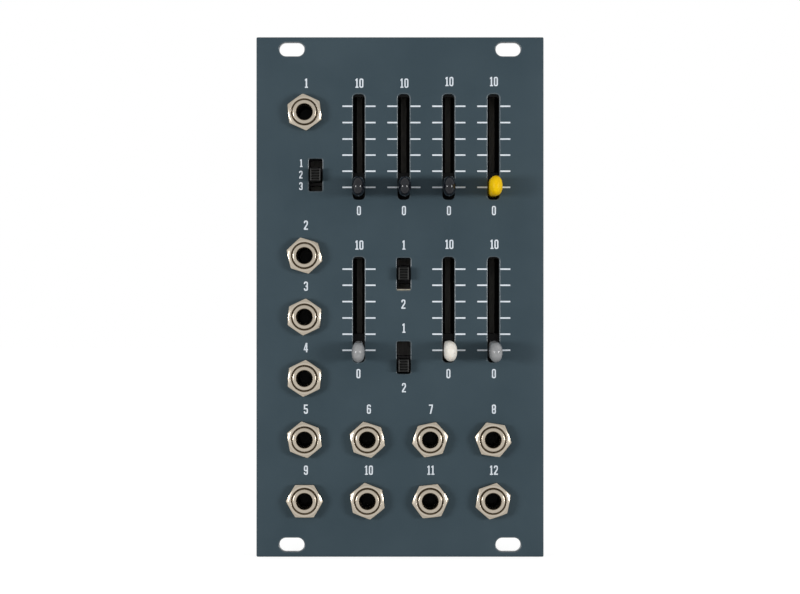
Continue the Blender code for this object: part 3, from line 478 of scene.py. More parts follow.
# Width, length and corner of each opening
RAIL_SLOT = (0.0062, 0.0034, 0.00169)
SLIDER_SLOT = (0.0029, 0.0261, 0.0009)
SWITCH_WINDOW = (0.00335, 0.008, 0.0004)
RAIL_SLOT_SHIFT, RAIL_SLOT_RISES = 0.02675, (0.0, 0.1225)
JACK_HOLE_RADIUS = 0.0032
# A thin strip of bare metal in the lower edge of the speed_depth window: its size, its drop below the window's
# middle and how deep it reaches behind the front
LIP_STRIP, LIP_STRIP_DROP, LIP_STRIP_DEPTH = (0.0034, 0.00034, 0.00015), 0.00385, 0.0005


def front_panel():
    """The painted plate with a bare rear, with rail slots, jack holes, slider slots and switch windows whose
    walls take a glossier edge paint, and a thin bare metal strip in one window's lower edge.
    """
    holes = [
        rounded(*RAIL_SLOT, side * RAIL_SLOT_SHIFT, rise, 12) for side in (-1, 1) for rise in RAIL_SLOT_RISES]
    holes += [circle(JACK_HOLE_RADIUS, axis.x, axis.z) for axis in JACK_AXES.values()]
    holes += [rounded(*SLIDER_SLOT, at.x, at.z, 6) for at in SLIDER_MIDDLES.values()]
    holes += [rounded(*SWITCH_WINDOW, at.x, at.z) for at in SWITCH_MIDDLES.values()]
    outline = rounded(PANEL_WIDTH, PANEL_TOP - PANEL_BOTTOM, PLATE_CORNER, 0, (PANEL_TOP + PANEL_BOTTOM) / 2)
    bm = bmesh.new()
    pierced_plate(bm, outline, holes, PANEL_FRONT, PANEL_REAR, PLATE_EDGE, surfaces=(0, 1, 2), steps=3)
    show("front_panel_plate", closed(bm), ("slate_paint", "painted_edge", "bare_aluminium"),
         "front_panel")
    at = SWITCH_MIDDLES["speed_depth"]
    strip = rounded(*LIP_STRIP, at.x, at.z - LIP_STRIP_DROP)
    depths = (PANEL_FRONT + LIP_STRIP_DEPTH, PANEL_FRONT - PRINT_THICKNESS)
    show("worn_window_edge", lofted([ring(strip, depth) for depth in depths]), ("bare_lip_metal",))


# Prints. A drop is how far a print's middle is below the panel's top edge

TICK_DROPS_UPPER = (0.01708, 0.02112, 0.02519, 0.02916, 0.03314, 0.03713)
TICK_DROPS_LOWER = (0.05736, 0.06134, 0.06539, 0.06944, 0.07344, 0.07742)
UPPER_SLIDERS_FROM = 0.08
TICK_SHIFTS = (-0.0028, 0.00291)
TICK_LENGTH, TICK_HEIGHT = 0.0025, 0.00038


def ticks():
    """Six printed marks on each side of each slider's slot."""
    places = []
    for at in SLIDER_MIDDLES.values():
        for drop in TICK_DROPS_UPPER if at.z > UPPER_SLIDERS_FROM else TICK_DROPS_LOWER:
            for shift in TICK_SHIFTS:
                places.append((at.x + shift, PANEL_FRONT - PRINT_THICKNESS, PANEL_TOP - drop))
    size = (TICK_LENGTH, PRINT_THICKNESS + PRINT_ROOT, TICK_HEIGHT)
    repeat("panel_print_ticks", print_bar(), places, "white_print", size)


# Each number: its text, its place across and its drop. The large ones stand astride their place, the small
# ones end at it
LARGE_NUMBER_HEIGHT, SMALL_NUMBER_HEIGHT = 0.0023, 0.0019
LARGE_NUMBERS = (
    ("1", -0.02314, 0.01137), ("2", -0.02327, 0.04648), ("3", -0.02327, 0.06157), ("4", -0.02327, 0.07677),
    ("5", -0.02327, 0.09198), ("6", -0.00769, 0.09198), ("7", 0.00764, 0.09198), ("8", 0.02322, 0.09198),
    ("9", -0.02327, 0.10707), ("10", -0.00769, 0.10707), ("11", 0.00764, 0.10707), ("12", 0.02322, 0.10707),
    ("10", -0.01004, 0.01137), ("10", 0.00109, 0.01137), ("10", 0.01222, 0.01097), ("10", 0.02322, 0.01097),
    ("0", -0.01016, 0.04288), ("0", 0.00097, 0.04288), ("0", 0.0121, 0.04288), ("0", 0.02322, 0.04288),
    ("10", -0.01004, 0.0514), ("10", 0.01222, 0.05122), ("10", 0.02335, 0.05122),
    ("0", -0.01028, 0.0832), ("0", 0.01197, 0.0832), ("0", 0.02322, 0.0832),
    ("1", 0.00097, 0.0514), ("2", 0.00084, 0.06602), ("1", 0.00097, 0.07195), ("2", 0.00097, 0.08667),
)
SMALL_NUMBERS = (("1", -0.0241, 0.03115), ("2", -0.0241, 0.03399), ("3", -0.0241, 0.03684))

# The digits are drawn in millimetres
DIGIT_WIDTH, DIGIT_HEIGHT, STROKE, DIGIT_GAP = 1.04, 2.4, 0.335, 0.22
PRINT_EDGE = 0.000003


def frame_of(left, low, right, high, radius):
    return [(left, low, radius), (right, low, radius), (right, high, radius), (left, high, radius)]


def digit_outlines():
    """Narrow bold digits: the width, then the corners of the outline and of its holes, some with a radius."""
    w, h, s = DIGIT_WIDTH, DIGIT_HEIGHT, STROKE
    big, small, low, high, waist = 0.42, 0.12, h / 2 - 0.15, h / 2 + 0.15, 1.48
    six = [
        (0, 0, big), (w, 0, big), (w, waist, 0.36), (s, waist), (s, h - s, small), (w - s, h - s, small),
        (w - s, 1.76), (w, 1.76), (w, h, big), (0, h, big)]
    six_hole = frame_of(s, s, w - s, waist - s, small)
    return {
        "0": (w, frame_of(0, 0, w, h, big), frame_of(s, s, w - s, h - s, small)),
        "1": (0.8, [
            (0, 0), (0.8, 0), (0.8, 0.3), (0.58, 0.3), (0.58, h), (0.27, h), (0, h - 0.3), (0, h - 0.62),
            (0.22, h - 0.5), (0.22, 0.3), (0, 0.3)]),
        "2": (w, [
            (0, 0), (w, 0), (w, s), (0.42, s), (w, 1.42, 0.2), (w, h, big), (0, h, big), (0, 1.7), (s, 1.7),
            (s, h - s, small), (w - s, h - s, small), (w - s, 1.5, 0.1), (0, 0.42)]),
        "3": (w, [
            (0, 0, big), (w, 0, big), (w, h / 2 - 0.1, 0.1), (w - 0.08, h / 2), (w, h / 2 + 0.1, 0.1),
            (w, h, big), (0, h, big), (0, 1.74), (s, 1.74), (s, h - s, small), (w - s, h - s, small),
            (w - s, high, small), (0.42, high), (0.42, low), (w - s, low, small), (w - s, s, small),
            (s, s, small), (s, 0.66), (0, 0.66)]),
        "4": (1.1, [
            (0.56, 0), (0.92, 0), (0.92, 0.5), (1.1, 0.5), (1.1, 0.84), (0.92, 0.84), (0.92, h), (0.5, h),
            (0, 0.86), (0, 0.5), (0.56, 0.5)], [(0.33, 0.84), (0.56, 0.84), (0.56, 1.62)]),
        "5": (w, [
            (0, 0, big), (w, 0, big), (w, waist, 0.36), (s, waist), (s, h - s), (w - 0.06, h - s),
            (w - 0.06, h), (0, h), (0, waist - s), (w - s, waist - s, small), (w - s, s, small),
            (s, s, small), (s, 0.66), (0, 0.66)]),
        "6": (w, six, six_hole),
        "7": (w, [(0.2, 0), (0.58, 0), (w, h - 0.5), (w, h), (0, h), (0, h - s), (w - s, h - s)]),
        "8": (w, [
            (0, 0, big), (w, 0, big), (w, h / 2 - 0.12, 0.1), (w - 0.07, h / 2), (w, h / 2 + 0.12, 0.1),
            (w, h, big), (0, h, big), (0, h / 2 + 0.12, 0.1), (0.07, h / 2), (0, h / 2 - 0.12, 0.1)],
            frame_of(s, s, w - s, low, small), frame_of(s, high, w - s, h - s, small)),
        "9": (w, *[[(w - x, h - z, *radius) for x, z, *radius in part] for part in (six, six_hole)]),
    }


def eased(corners, steps=4):
    """An outline through corners, with those that have a radius rounded by it."""
    points = []
    for index, (x, z, *given) in enumerate(corners):
        if not given:
            points.append((x, z))
            continue
        radius, here = given[0], Vector((x, z))
        before, after = Vector(corners[index - 1][:2]), Vector(corners[(index + 1) % len(corners)][:2])
        back, ahead = (before - here).normalized(), (after - here).normalized()
        half = back.angle(ahead) / 2
        centre = here + (back + ahead).normalized() * radius / math.sin(half)
        start = here + back * radius / math.tan(half) - centre
        end = here + ahead * radius / math.tan(half) - centre
        first = math.atan2(start.y, start.x)
        sweep = (math.atan2(end.y, end.x) - first + math.pi) % math.tau - math.pi
        for step in range(steps + 1):
            angle = first + sweep * step / steps
            points.append((centre.x + radius * math.cos(angle), centre.y + radius * math.sin(angle)))
    return points


def numbers():
    """Plain printed numbers at the jacks, the ends of the sliders and the places of the switches."""
    digits = digit_outlines()
    bm = bmesh.new()
    groups = ((LARGE_NUMBERS, LARGE_NUMBER_HEIGHT, 0.5), (SMALL_NUMBERS, SMALL_NUMBER_HEIGHT, 1))
    for texts, tall, share_before in groups:
        size = tall / DIGIT_HEIGHT
        for text, x, drop in texts:
            wide = sum(digits[digit][0] for digit in text) + DIGIT_GAP * (len(text) - 1)
            left, foot = x - wide * size * share_before, PANEL_TOP - drop - tall / 2
            for digit in text:
                width, *shapes = digits[digit]
                outline, *holes = [
                    [(left + across * size, foot + up * size) for across, up in eased(shape)]
                    for shape in shapes]
                pierced_plate(
                    bm, outline, holes, PANEL_FRONT - PRINT_THICKNESS, PANEL_FRONT + PRINT_ROOT, PRINT_EDGE)
                left += (width + DIGIT_GAP) * size
    show("panel_print_numbers", closed(bm), ("white_print",))


# Jacks. A wall is an outline of radii and depths

THREAD_PITCH = 0.0005
NUT_REAR, NUT_FRONT = -0.00201, -0.0041
NUT_FLAT, NUT_FACE, NUT_CORNER = 0.004, 0.0038, 0.00035
NUT_SLOPE, NUT_EDGE = 0.55, 0.0001
SIXTH = math.pi / 3
CORNER_CENTRE = (NUT_FLAT - NUT_CORNER) / math.cos(SIXTH / 2)
CORNER_TURN = math.atan(NUT_CORNER / 2 / (CORNER_CENTRE + NUT_CORNER * math.cos(SIXTH / 2)))
STEPS_ALONG_FLAT = 11


def hexagon_radius(angle):
    """How far a hexagon with rounded corners reaches, at an angle from one of its corners."""
    turn = (angle + SIXTH / 2) % SIXTH - SIXTH / 2
    if abs(turn) < CORNER_TURN:
        return CORNER_CENTRE * math.cos(turn) + math.sqrt(NUT_CORNER**2 - (CORNER_CENTRE * math.sin(turn)) ** 2)
    return NUT_FLAT / math.cos(SIXTH / 2 - abs(turn))


def hexagon_angles():
    """Angles from a corner: close together round each corner and even along each flat."""
    steps = [CORNER_TURN * share for share in (-1, -0.5, 0, 0.5, 1)]
    flat = SIXTH - 2 * CORNER_TURN
    steps += [CORNER_TURN + flat * step / STEPS_ALONG_FLAT for step in range(1, STEPS_ALONG_FLAT)]
    return [SIXTH * corner + step for corner in range(6) for step in steps]


def teeth(front, rear, crest, root):
    """A thread's wall from front to rear, as plain rings."""
    points = []
    for turn in range(int((rear - front) / THREAD_PITCH)):
        start = front + THREAD_PITCH * turn
        points += [(root, start), (root, start + 0.00006), (crest, start + 0.00022), (crest, start + 0.00028)]
    return points


NUT_BORE = [
    (0.00321, NUT_REAR), *teeth(NUT_FRONT + 0.0004, NUT_REAR, 0.00307, 0.0032)[::-1],
    (0.00309, NUT_FRONT + 0.0003), (0.00336, NUT_FRONT + 0.00001), (0.00338, NUT_FRONT)]
BUSHING_WALL = [
    (0.0018, 0.0008), (0.0018, -0.0029), (0.00195, -0.0041), (0.00203, -0.00434), (0.00208, -0.00445),
    (0.00215, -0.0045), (0.00268, -0.0045), (0.00279, -0.00447), (0.00287, -0.0044), (0.00294, -0.00425),
    *teeth(-0.00382, 0.00025, 0.00297, 0.0028), (0.00297, 0.0003), (0.00297, 0.0008),
]


def jack_nut(name, axis, turn):
    """A hexagon nut with a turned-down face, rounded corners and a threaded bore."""
    up = QUARTER - math.radians(turn)

    def wall(angle):
        reach = hexagon_radius(angle - up)
        beyond = reach - NUT_FACE
        face = [(NUT_FACE - 0.00004, NUT_FRONT), (NUT_FACE + 0.00002, NUT_FRONT + 0.000015)]
        slope = [
            (NUT_FACE + beyond * share, NUT_FRONT + beyond * share * NUT_SLOPE) for share in (0.5, 0.94)]
        side = [(reach, NUT_FRONT + beyond * NUT_SLOPE + 0.00004), (reach, NUT_REAR - NUT_EDGE)]
        return NUT_BORE + face + slope + side + [(reach - NUT_EDGE, NUT_REAR)]

    bm = bmesh.new()
    turned(bm, axis, [up + angle for angle in hexagon_angles()], wall)
    show(f"{name}_nut", beside_axis(closed(bm), axis), ("turned_nickel",),
         f"{name}_jack_nut")


PLATE_FRONT, PLATE_REAR, PLATE_HOLE_RADIUS = 0.0003, 0.0008, 0.0029
PLATE_SIZE, PLATE_RISE = (0.0086, 0.0092, 0.0004), 0.0004
LUG_FOOT, LUG_TOP, LUG_END = 0.0046, 0.006, 0.0102
LUG_THICKNESS, LUG_BEND, LUG_HALF_WIDTH = 0.0004, 0.00065, 0.0012
LUG_TIP, LUG_TIP_RISE = (0.0009, 0.0004, 0.01, 0.0131, 0.0001, 0.0001), 0.0058


def bent_lug():
    """The lug's side outline: up from the plate, bent back over the housing and along to the board."""
    depth, rise = PLATE_FRONT + LUG_BEND, LUG_TOP - LUG_BEND
    outer, inner = [
        [(depth - radius * math.cos(angle), rise + radius * math.sin(angle))
         for angle in (QUARTER * step / 6 for step in range(7))]
        for radius in (LUG_BEND, LUG_BEND - LUG_THICKNESS)]
    end = [(LUG_END, LUG_TOP), (LUG_END, LUG_TOP - LUG_THICKNESS)]
    return [(PLATE_FRONT, LUG_FOOT), *outer, *end, *inner[::-1], (PLATE_FRONT + LUG_THICKNESS, LUG_FOOT)]


def jack_bushing(name, axis):
    """A turned bushing on a contact plate, whose lug folds back over the housing to the board."""
    bm = bmesh.new()
    turned(bm, axis, even_angles(64), lambda angle: BUSHING_WALL)
    plate = rounded(*PLATE_SIZE, axis.x, axis.z + PLATE_RISE, 3)
    hole = circle(PLATE_HOLE_RADIUS, axis.x, axis.z, 48)
    pierced_plate(bm, plate, [hole], PLATE_FRONT, PLATE_REAR, 0.00006)
    loft(bm, [
        [(axis.x + side * LUG_HALF_WIDTH, y, axis.z + z) for y, z in bent_lug()] for side in (-1, 1)])
    block(bm, *LUG_TIP, axis.x, axis.z + LUG_TIP_RISE)
    show(f"{name}_bushing", beside_axis(closed(bm), axis), ("turned_nickel",),
         f"{name}_jack_bushing")


def contact_leaf():
    """A sprung leaf in the jack's window, one unit wide: it rises from its foot to a rounded nose."""
    line = ((0.009, -0.0039), (0.0082, -0.0037), (0.0072, -0.0029), (0.0064, -0.0021), (0.0058, -0.0019),
            (0.0052, -0.0021), (0.0047, -0.0026))
    outline = [(y, z + 0.0001) for y, z in line] + [(y, z - 0.0001) for y, z in line[::-1]]
    return lofted([[(x, y, z) for y, z in outline] for x in (-0.5, 0.5)])


def jacks():
    for name, turn in JACK_TURNS.items():
        axis = JACK_AXES[name]
        jack_nut(name, axis, turn)
        jack_bushing(name, axis)
        show(f"{name}_housing", refined(f"{name}_jack_housing", 0.00014, is_pin), ("black_moulding", "tin"),
             f"{name}_jack_housing")
    repeat("jack_contact_leaves", contact_leaf(), [(axis.x, 0, axis.z) for axis in JACK_AXES.values()],
           "sheet_nickel", (0.0016, 1, 1))


# Slide potentiometers

NECK_ROOT, NECK_END, FLARE_END, DOME_START, TIP = 0.0046, -0.0063, -0.0081, -0.0089, -0.0115
NECK_SIZE, COLLAR_SIZE = Vector((0.0023, 0.0044)), Vector((0.0023, 0.0048))
LENS_SIZE = Vector((0.00318, 0.0049))
NECK_POWER, FLARE_POWER, LENS_POWER, TIP_POWER = 4, 2.4, 2.2, 2
COLLAR_RISE = 0.00012
FLARE_STEPS, DOME_STEPS = 8, 16
# A quarter turn takes a little more than the dome's steps, so that it ends in a small flat tip
DOME_QUARTER_STEPS, DOME_FULLNESS = 16.4, 0.9

# How far each lens leans across and hangs, in the play of its lever
LEVER_LEANS = {
    "attack": (0, -0.0001), "decay": (0.00026, -0.0001), "sustain": (0, -0.0001),
    "release": (0.00027, 0.00002), "envelope_amount": (0, -0.00038), "speed": (0.00034, -0.00014),
    "depth": (0.0003, -0.00034)}

# Width, length, front, rear, edge and corner of each block
CARRIAGE = (0.0068, 0.008, 0.0044, 0.0079, 0.0002, 0.0004)
RUNNER, RUNNER_SHIFT = (0.001, 0.0072, 0.0077, 0.0087, 0.0001, 0.0002), 0.0029
WIPER, WIPER_SHIFT = (0.0012, 0.0026, 0.0077, 0.00845, 0.0001, 0.0002), 0.0011


def lens(bm, x, z, across, along):
    """The lever's clear part: a neck from the carriage that grows taller, a flare and a dome."""
    rings = [ring(superellipse(*NECK_SIZE, NECK_POWER), depth, x, z) for depth in (NECK_ROOT, PANEL_FRONT)]
    for step in range(FLARE_STEPS + 1):
        share = step / FLARE_STEPS
        size = COLLAR_SIZE.lerp(LENS_SIZE, (1 - math.cos(math.pi * share)) / 2)
        lean = 0.4 + 0.4 * share
        rings.append(ring(
            superellipse(*size, FLARE_POWER + (LENS_POWER - FLARE_POWER) * share),
            NECK_END + (FLARE_END - NECK_END) * share,
            x + across * lean, z + along * lean + COLLAR_RISE * (1 - share)))
    for step in range(DOME_STEPS + 1):
        angle = QUARTER * step / DOME_QUARTER_STEPS
        shrink, rise = math.cos(angle) ** DOME_FULLNESS, math.sin(angle) ** DOME_FULLNESS
        power = LENS_POWER + (TIP_POWER - LENS_POWER) * step / DOME_STEPS
        rings.append(ring(
            superellipse(*(LENS_SIZE * shrink), power), DOME_START + (TIP - DOME_START) * rise,
            x + across, z + along))
    loft(bm, rings)


def slider(name, tint):
    """A can, a lens on its neck, and a carriage with two runners and two wipers."""
    show(f"{name}_can", refined(f"{name}_slider_can", 0.00009, is_pin), ("can_black", "tin"),
         f"{name}_slider_can")
    rest = middle(f"{name}_slider_lever")
    bm = bmesh.new()
    lens(bm, rest.x, rest.z, *LEVER_LEANS[name])
    show(f"{name}_lens", closed(bm), (f"{tint}_lens",), f"{name}_slider_lever",
         f"{name}_lever")
    bm = bmesh.new()
    block(bm, *CARRIAGE, rest.x, rest.z)
    for side in (-1, 1):
        block(bm, *RUNNER, rest.x + side * RUNNER_SHIFT, rest.z)
        block(bm, *WIPER, rest.x + side * WIPER_SHIFT, rest.z, surface=1)
    show(f"{name}_carriage", closed(bm), ("black_moulding", "sheet_nickel"),
         body=f"{name}_lever")


def sliders():
    for name, tint in LEVER_TINTS.items():
        slider(name, tint)
    middles = SLIDER_MIDDLES.values()
    repeat("slider_wafers", unit_bar(), [(at.x, 0.0088, at.z) for at in middles], "slider_wafer",
           (0.0046, 0.00034, 0.0294))
    tracks = [(at.x + side * 0.0012, 0.00861, at.z) for at in middles for side in (-1, 1)]
    repeat("slider_tracks", unit_bar(), tracks, "carbon_track", (0.001, 0.00008, 0.028))


# Slide switches

KNOB_POST = (0.00256, 0.0031, -0.0033, 0.0062, 0.0001, 0.0003)
KNOB_RAIL, KNOB_RAIL_SHIFT = (0.0003, 0.0031, -0.004, -0.0032, 0.0001, 0.00012), 0.00112
KNOB_RIB, KNOB_RIB_PITCH = (0.0021, 0.0003, -0.00396, -0.0032, 0.0001, 0.0001), 0.00065
KNOB_SHOE = (0.0039, 0.0046, 0.0059, 0.0089, 0.0001, 0.0002)
KNOB_LIFTS = {"waveform": 0.0, "speed_depth": 0.00014, "vco_lfo": 0.00008}


def knob(name):
    """A shoe inside the body, a post with softened edges, and rails and ribs across its top."""
    at = middle(f"{name}_switch_knob")
    z = at.z + KNOB_LIFTS[name]
    bm = bmesh.new()
    block(bm, *KNOB_POST, at.x, z)
    # The rails and ribs take lighter blacks than the post, which paint highlights on them
    for side in (-1, 1):
        block(bm, *KNOB_RAIL, at.x + side * KNOB_RAIL_SHIFT, z, surface=2)
    for row in (-2, -1, 0, 1, 2):
        block(bm, *KNOB_RIB, at.x, z + row * KNOB_RIB_PITCH, surface=3)
    block(bm, *KNOB_SHOE, at.x, at.z, surface=1)
    show(f"{name}_finger_knob", closed(bm), ("knob_black", "shoe_grey", "rails_black_with_painted_highlight", "ribs_black_with_painted_highlight"),
         f"{name}_switch_knob", f"{name}_knob")


def switches():
    for name in SWITCHES:
        show(f"{name}_body", refined(f"{name}_switch_body", 0.00012, is_pin), ("black_moulding", "tin"),
             f"{name}_switch_body")
        knob(name)
    places = [(at.x, 0.00909, at.z) for at in SWITCH_MIDDLES.values()]
    repeat("switch_wafers", unit_bar(), places, "switch_wafer", (0.0043, 0.0003, 0.0089))


# Board and what stands on its rear

PIN_HOLE, HEADER_PIN_HOLE = (0.0013, 0.0008), (0.00104, 0.00104)
JACK_PIN_RISES = (0.0058, -0.0018, -0.0039)
SLIDER_PIN_SHIFT, SLIDER_PIN_RISE = 0.0025, 0.01625
SWITCH_PIN_PITCH, HEADER_PIN_PITCH = 0.0025, 0.00254
BOARD_CORNER, BOARD_EDGE = 0.001, 0.00005
HEADER_PINS = [
    (HEADER_MIDDLE.x + side * HEADER_PIN_PITCH / 2, HEADER_MIDDLE.z + (row - 2) * HEADER_PIN_PITCH)
    for side in (-1, 1) for row in range(5)]


def pin_places():
    """Every pin that passes through the board, with the sizes of its hole."""
    for axis in JACK_AXES.values():
        for rise in JACK_PIN_RISES:
            yield axis.x, axis.z + rise, *PIN_HOLE
    for at in SLIDER_MIDDLES.values():
        for side in (-1, 1):
            for end in (-1, 1):
                yield at.x + side * SLIDER_PIN_SHIFT, at.z + end * SLIDER_PIN_RISE, *PIN_HOLE
    for at in SWITCH_MIDDLES.values():
        for row in (-1, 0, 1):
            yield at.x, at.z + row * SWITCH_PIN_PITCH, *PIN_HOLE
    for x, z in HEADER_PINS:
        yield x, z, *HEADER_PIN_HOLE


def board():
    """The masked board with its bare cut edge, and the solder on every pin."""
    low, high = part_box("control_board")
    outline = rounded(high.x - low.x, high.z - low.z, BOARD_CORNER, 0, (low.z + high.z) / 2, 6)
    holes = [rectangle(width, length, x, z) for x, z, width, length in pin_places()]
    bm = bmesh.new()
    pierced_plate(bm, outline, holes, BOARD_FRONT, BOARD_REAR, BOARD_EDGE, surfaces=(0, 1, 0))
    for face in bm.faces:
        if abs(face.calc_center_median().y - (BOARD_FRONT + BOARD_REAR) / 2) < 0.0004:
            face.material_index = 1
    show("board_laminate", closed(bm), ("solder_mask", "laminate_edge"),
         "control_board")
    repeat("solder_joints", solder_cone(), [(x, BOARD_REAR, z) for x, z, _, _ in pin_places()], "solder",
           (0.0021, 0.001, 0.0021), uneven=0.6, seed=4)


SMALL_CHIPS = [(x, 0.09839) for x in (-0.009285, 0.001215, 0.011715, 0.022215)]
SMALL_CHIP_SIZE, SMALL_CHIP_FRONT, SMALL_CHIP_REAR = (0.0086, 0.0039), BOARD_REAR + 0.00012, 0.0134
MAIN_CHIP_SIZE, MAIN_CHIP_FRONT, MAIN_CHIP_REAR = (0.007, 0.007), 0.01203, 0.0136
SMALL_LEAD_PITCH, SMALL_LEAD_START = 0.00127, 0.0019
MAIN_LEAD_PITCH, MAIN_LEAD_START = 0.0005, 0.0034
CHIP_SLOPE, DIMPLE_RADIUS, DIMPLE_INSET = 0.00012, 0.00035, 0.0009


def chip_body(bm, x, z, size, front, rear):
    """A moulded chip: sides that slope to a parting line, and a round dimple beside the first lead."""
    width, length = size
    half = front + (rear - front) * 0.45
    rows = ((width - CHIP_SLOPE, front), (width, half), (width, half + 0.0001),
            (width - 2 * CHIP_SLOPE, rear - 0.00004), (width - 3 * CHIP_SLOPE, rear))
    loft(bm, [
        ring(rounded(side, side - (width - length), 0.00008, x, z, 2), depth) for side, depth in rows])
    dimple = circle(DIMPLE_RADIUS, x - width / 2 + DIMPLE_INSET, z - length / 2 + DIMPLE_INSET, 20)
    loft(bm, [ring(dimple, rear - 0.0001), ring(dimple, rear + 0.00001)])


def chips():
    """Four small chips with leads on two sides, and the main chip with leads on all four."""
    small, main = bmesh.new(), bmesh.new()
    for x, z in SMALL_CHIPS:
        chip_body(small, x, z, SMALL_CHIP_SIZE, SMALL_CHIP_FRONT, SMALL_CHIP_REAR)
    show("small_chips", closed(small), ("chip_epoxy",))
    leads = [
        (x + (step - 3) * SMALL_LEAD_PITCH, BOARD_REAR, z + side * SMALL_LEAD_START, -side * QUARTER)
        for x, z in SMALL_CHIPS for side in (-1, 1) for step in range(7)]
    repeat("small_chip_leads", gull_lead(), leads, "tin", (0.0011, 0.00085, 0.0004))
    x, z = MAIN_CHIP_MIDDLE.x, MAIN_CHIP_MIDDLE.z
    chip_body(main, x, z, MAIN_CHIP_SIZE, MAIN_CHIP_FRONT, MAIN_CHIP_REAR)
    show("main_chip_body", closed(main), ("chip_epoxy",), "main_chip")
    leads = []
    for turn in (0, QUARTER, 2 * QUARTER, 3 * QUARTER):
        for step in range(12):
            out, along = MAIN_LEAD_START, (step - 5.5) * MAIN_LEAD_PITCH
            leads.append((
                x + out * math.cos(turn) + along * math.sin(turn), BOARD_REAR,
                z - out * math.sin(turn) + along * math.cos(turn), turn))
    repeat("main_chip_leads", gull_lead(), leads, "tin", (0.0011, 0.0008, 0.00022))


CAPACITORS = [(0.01202, 0.07825), (0.02313, 0.07825)]
# Radius and height of each ring of the can, from its foot
CAN_RINGS = (
    (0.00235, 0.00088), (0.0025, 0.00102), (0.0025, 0.0014), (0.00238, 0.00155), (0.00238, 0.00172),
    (0.0025, 0.00187), (0.0025, 0.00518), (0.00244, 0.00534), (0.0023, 0.0054))
BASE_OUTLINE = (
    (-0.00265, -0.00265), (0.00185, -0.00265), (0.00265, -0.00185), (0.00265, 0.00185),
    (0.00185, 0.00265), (-0.00265, 0.00265))
MARK_ANGLES = [2.2 + 1.88 * step / 16 for step in range(17)]
MARK_ARC = [(0.0021 * math.cos(angle), 0.0021 * math.sin(angle)) for angle in MARK_ANGLES]


def capacitors():
    """Round cans on square bases, with a pressed groove round the foot and a printed segment on top."""
    metal, base, mark = bmesh.new(), bmesh.new(), bmesh.new()
    for x, z in CAPACITORS:
        loft(metal, [ring(circle(radius, x, z, 48), BOARD_REAR + rise) for radius, rise in CAN_RINGS])
        loft(base, [ring(BASE_OUTLINE, BOARD_REAR + rise, x, z) for rise in (0.0001, 0.0009)])
        loft(mark, [ring(MARK_ARC, BOARD_REAR + rise, x, z) for rise in (0.00539, 0.00541)])
    for name, bm, surface in (("cans", metal, "can_aluminium"), ("bases", base, "black_moulding"),
                              ("marks", mark, "black_moulding")):
        show(f"capacitor_{name}", closed(bm), (surface,))


# Small flat parts on the rear: each row's height, whether its parts stand upright, and their places across
RESISTOR_ROWS = (
    (0.0905, 0, (-0.0125, -0.0095, -0.0065, 0.0, 0.003, 0.006, 0.0095, 0.0125, 0.0205, 0.0235)),
    (0.1062, 0, (-0.0125, -0.0065, -0.002, 0.004, 0.0085, 0.0145, 0.0195, 0.0255)),
    (0.0345, 1, (-0.014, -0.001, 0.0005, 0.002, 0.0145, 0.016)),
    (0.0185, 1, (-0.0165, -0.015, -0.0005, 0.0012, 0.0145, 0.0162, 0.0178)),
    (0.0655, 1, (0.0165, 0.0178, 0.0191)))
CERAMIC_ROWS = (
    (0.0932, 0, (-0.011, 0.0035, 0.0125, 0.0245)), (0.0665, 1, (0.0148, 0.0205)),
    (0.0495, 0, (0.0155, 0.0195)), (0.0720, 0, (-0.0185, -0.0152)), (0.0225, 0, (-0.002, 0.0135)))
FLAT_PARTS = (
    ("resistors", RESISTOR_ROWS, "chip_epoxy", 0.00045), ("ceramics", CERAMIC_ROWS, "ceramic_tan", 0.0008))
END_SHIFT = 0.00066


def flat_parts():
    """Resistors and ceramic capacitors, each with a tinned end on both sides."""
    for name, rows, surface, thick in FLAT_PARTS:
        y = BOARD_REAR + thick / 2 + 0.00002
        bodies = [(x, y, z, upright * QUARTER) for z, upright, places in rows for x in places]
        ends = [
            (x + shift * (1 - upright), y, z + shift * upright, upright * QUARTER)
            for z, upright, places in rows for x in places for shift in (-END_SHIFT, END_SHIFT)]
        repeat(f"flat_{name}", unit_bar(), bodies, surface, (0.0012, thick, 0.00078))
        repeat(f"flat_{name}_ends", unit_bar(), ends, "tin", (0.00034, thick + 0.00006, 0.00084))


PIN_HALF_WIDTH = 0.00036
SHROUD_FRONT, SHROUD_FLOOR = 0.01219, 0.01462


def header():
    def is_gold(point):
        near = any(
            abs(point.x - x) < PIN_HALF_WIDTH and abs(point.z - z) < PIN_HALF_WIDTH for x, z in HEADER_PINS)
        return near and not SHROUD_FRONT <= point.y <= SHROUD_FLOOR

    show("header_shroud", refined("power_header", 0.00012, is_gold), ("black_moulding", "gold_plate"),
         "power_header")


# Studio

CAMERA_PLACE, CAMERA_LENS = (0.0, -0.502, 0.06125), 90.99
LAMPS = {"left_lamp": -50, "right_lamp": 50}
LAMP_SIZE, LAMP_WATTS, LAMP_DISTANCE, LAMP_HEIGHT = (0.2, 0.12), 1.5, 0.6, 0.075
LAMP_AIM = Vector((0, 0, 0.06))
FLOOR_HALF_WIDTH, FLOOR_THICKNESS, FLOOR_DEPTHS, FLOOR_DROP = 1.5, 0.002, (-1.2, 2.0), 0.0001


def seen_white(tree, unseen, seen):
    """A strength of its own where the camera, a gloss or a clear piece looks at it."""
    rays = add_node(tree, "ShaderNodeLightPath").outputs
    looked_at = reckon(tree, "MAXIMUM", rays["Is Camera Ray"], rays["Is Glossy Ray"])
    looked_at = reckon(tree, "MAXIMUM", looked_at, rays["Is Transmission Ray"])
    span = {"Value": looked_at, "To Min": unseen, "To Max": seen}
    return add_node(tree, "ShaderNodeMapRange", span).outputs["Result"]


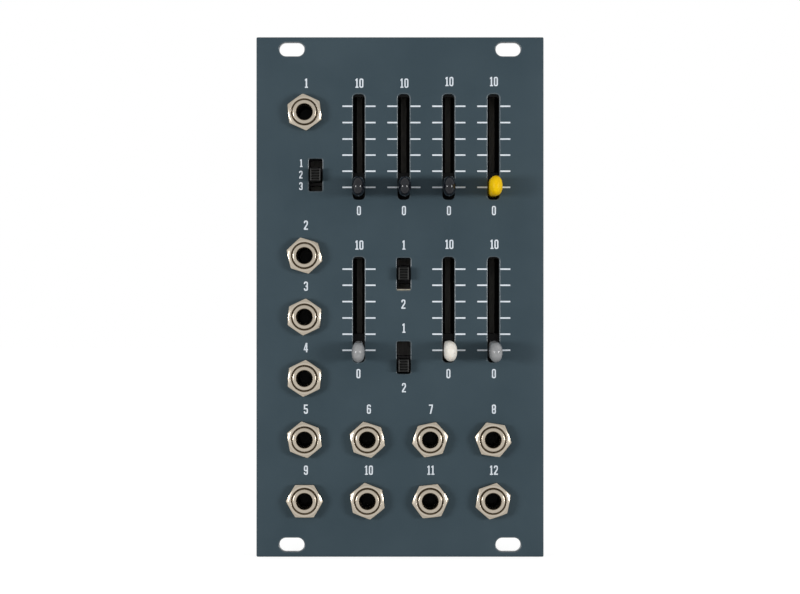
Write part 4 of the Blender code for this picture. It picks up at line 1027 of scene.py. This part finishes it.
def studio():
    """A camera square to the panel, a soft lamp on each side, and a plain white room."""
    scene = bpy.context.scene
    scene.view_settings.view_transform = "Standard"
    camera = bpy.data.objects.new("camera", bpy.data.cameras.new("camera"))
    scene.collection.objects.link(camera)
    camera.location = CAMERA_PLACE
    camera.rotation_euler = (QUARTER, 0, 0)
    camera.data.sensor_width = 36.0
    camera.data.lens = CAMERA_LENS
    camera.data.clip_start = 0.01
    scene.camera = camera
    for name, azimuth in LAMPS.items():
        lamp = bpy.data.lights.new(name, "AREA")
        lamp.shape = "RECTANGLE"
        lamp.size, lamp.size_y = LAMP_SIZE
        lamp.energy = LAMP_WATTS
        holder = bpy.data.objects.new(name, lamp)
        scene.collection.objects.link(holder)
        turn = math.radians(azimuth)
        holder.location = (LAMP_DISTANCE * math.sin(turn), -LAMP_DISTANCE * math.cos(turn), LAMP_HEIGHT)
        holder.rotation_euler = (LAMP_AIM - holder.location).to_track_quat("-Z", "Y").to_euler()
    world = bpy.data.worlds.new("white_room")
    scene.world = world
    world.use_nodes = True
    tree = world.node_tree
    feed(tree, tree.nodes["Background"], {"Color": (1, 1, 1, 1), "Strength": seen_white(tree, 0.5, 1.0)})


def floor():
    """A matt white sheet under the module, which shows white and keeps the shadow."""
    top, half = PANEL_BOTTOM - FLOOR_DROP, FLOOR_HALF_WIDTH
    corners = [(-half, 0.0), (half, 0.0), (half, -FLOOR_THICKNESS), (-half, -FLOOR_THICKNESS)]
    mesh = lofted([ring(corners, depth, 0, top) for depth in FLOOR_DEPTHS])
    sheet = bpy.data.materials.new("white_floor")
    sheet.use_nodes = True
    tree = sheet.node_tree
    matt = tree.nodes["Principled BSDF"]
    feed(tree, matt, {"Base Color": (0.5, 0.5, 0.5, 1), "Roughness": 1.0, "Specular IOR Level": 0.0})
    glow = add_node(tree, "ShaderNodeEmission", {"Strength": seen_white(tree, 0.0, 0.78)})
    both = add_node(tree, "ShaderNodeAddShader", {0: matt.outputs["BSDF"], 1: glow.outputs["Emission"]})
    feed(tree, tree.nodes["Material Output"], {"Surface": both.outputs["Shader"]})
    mesh.materials.append(sheet)
    obj = bpy.data.objects.new("floor", mesh)
    bpy.context.scene.collection.objects.link(obj)


front_panel()
ticks()
numbers()
jacks()
sliders()
switches()
board()
chips()
capacitors()
flat_parts()
header()
studio()
floor()
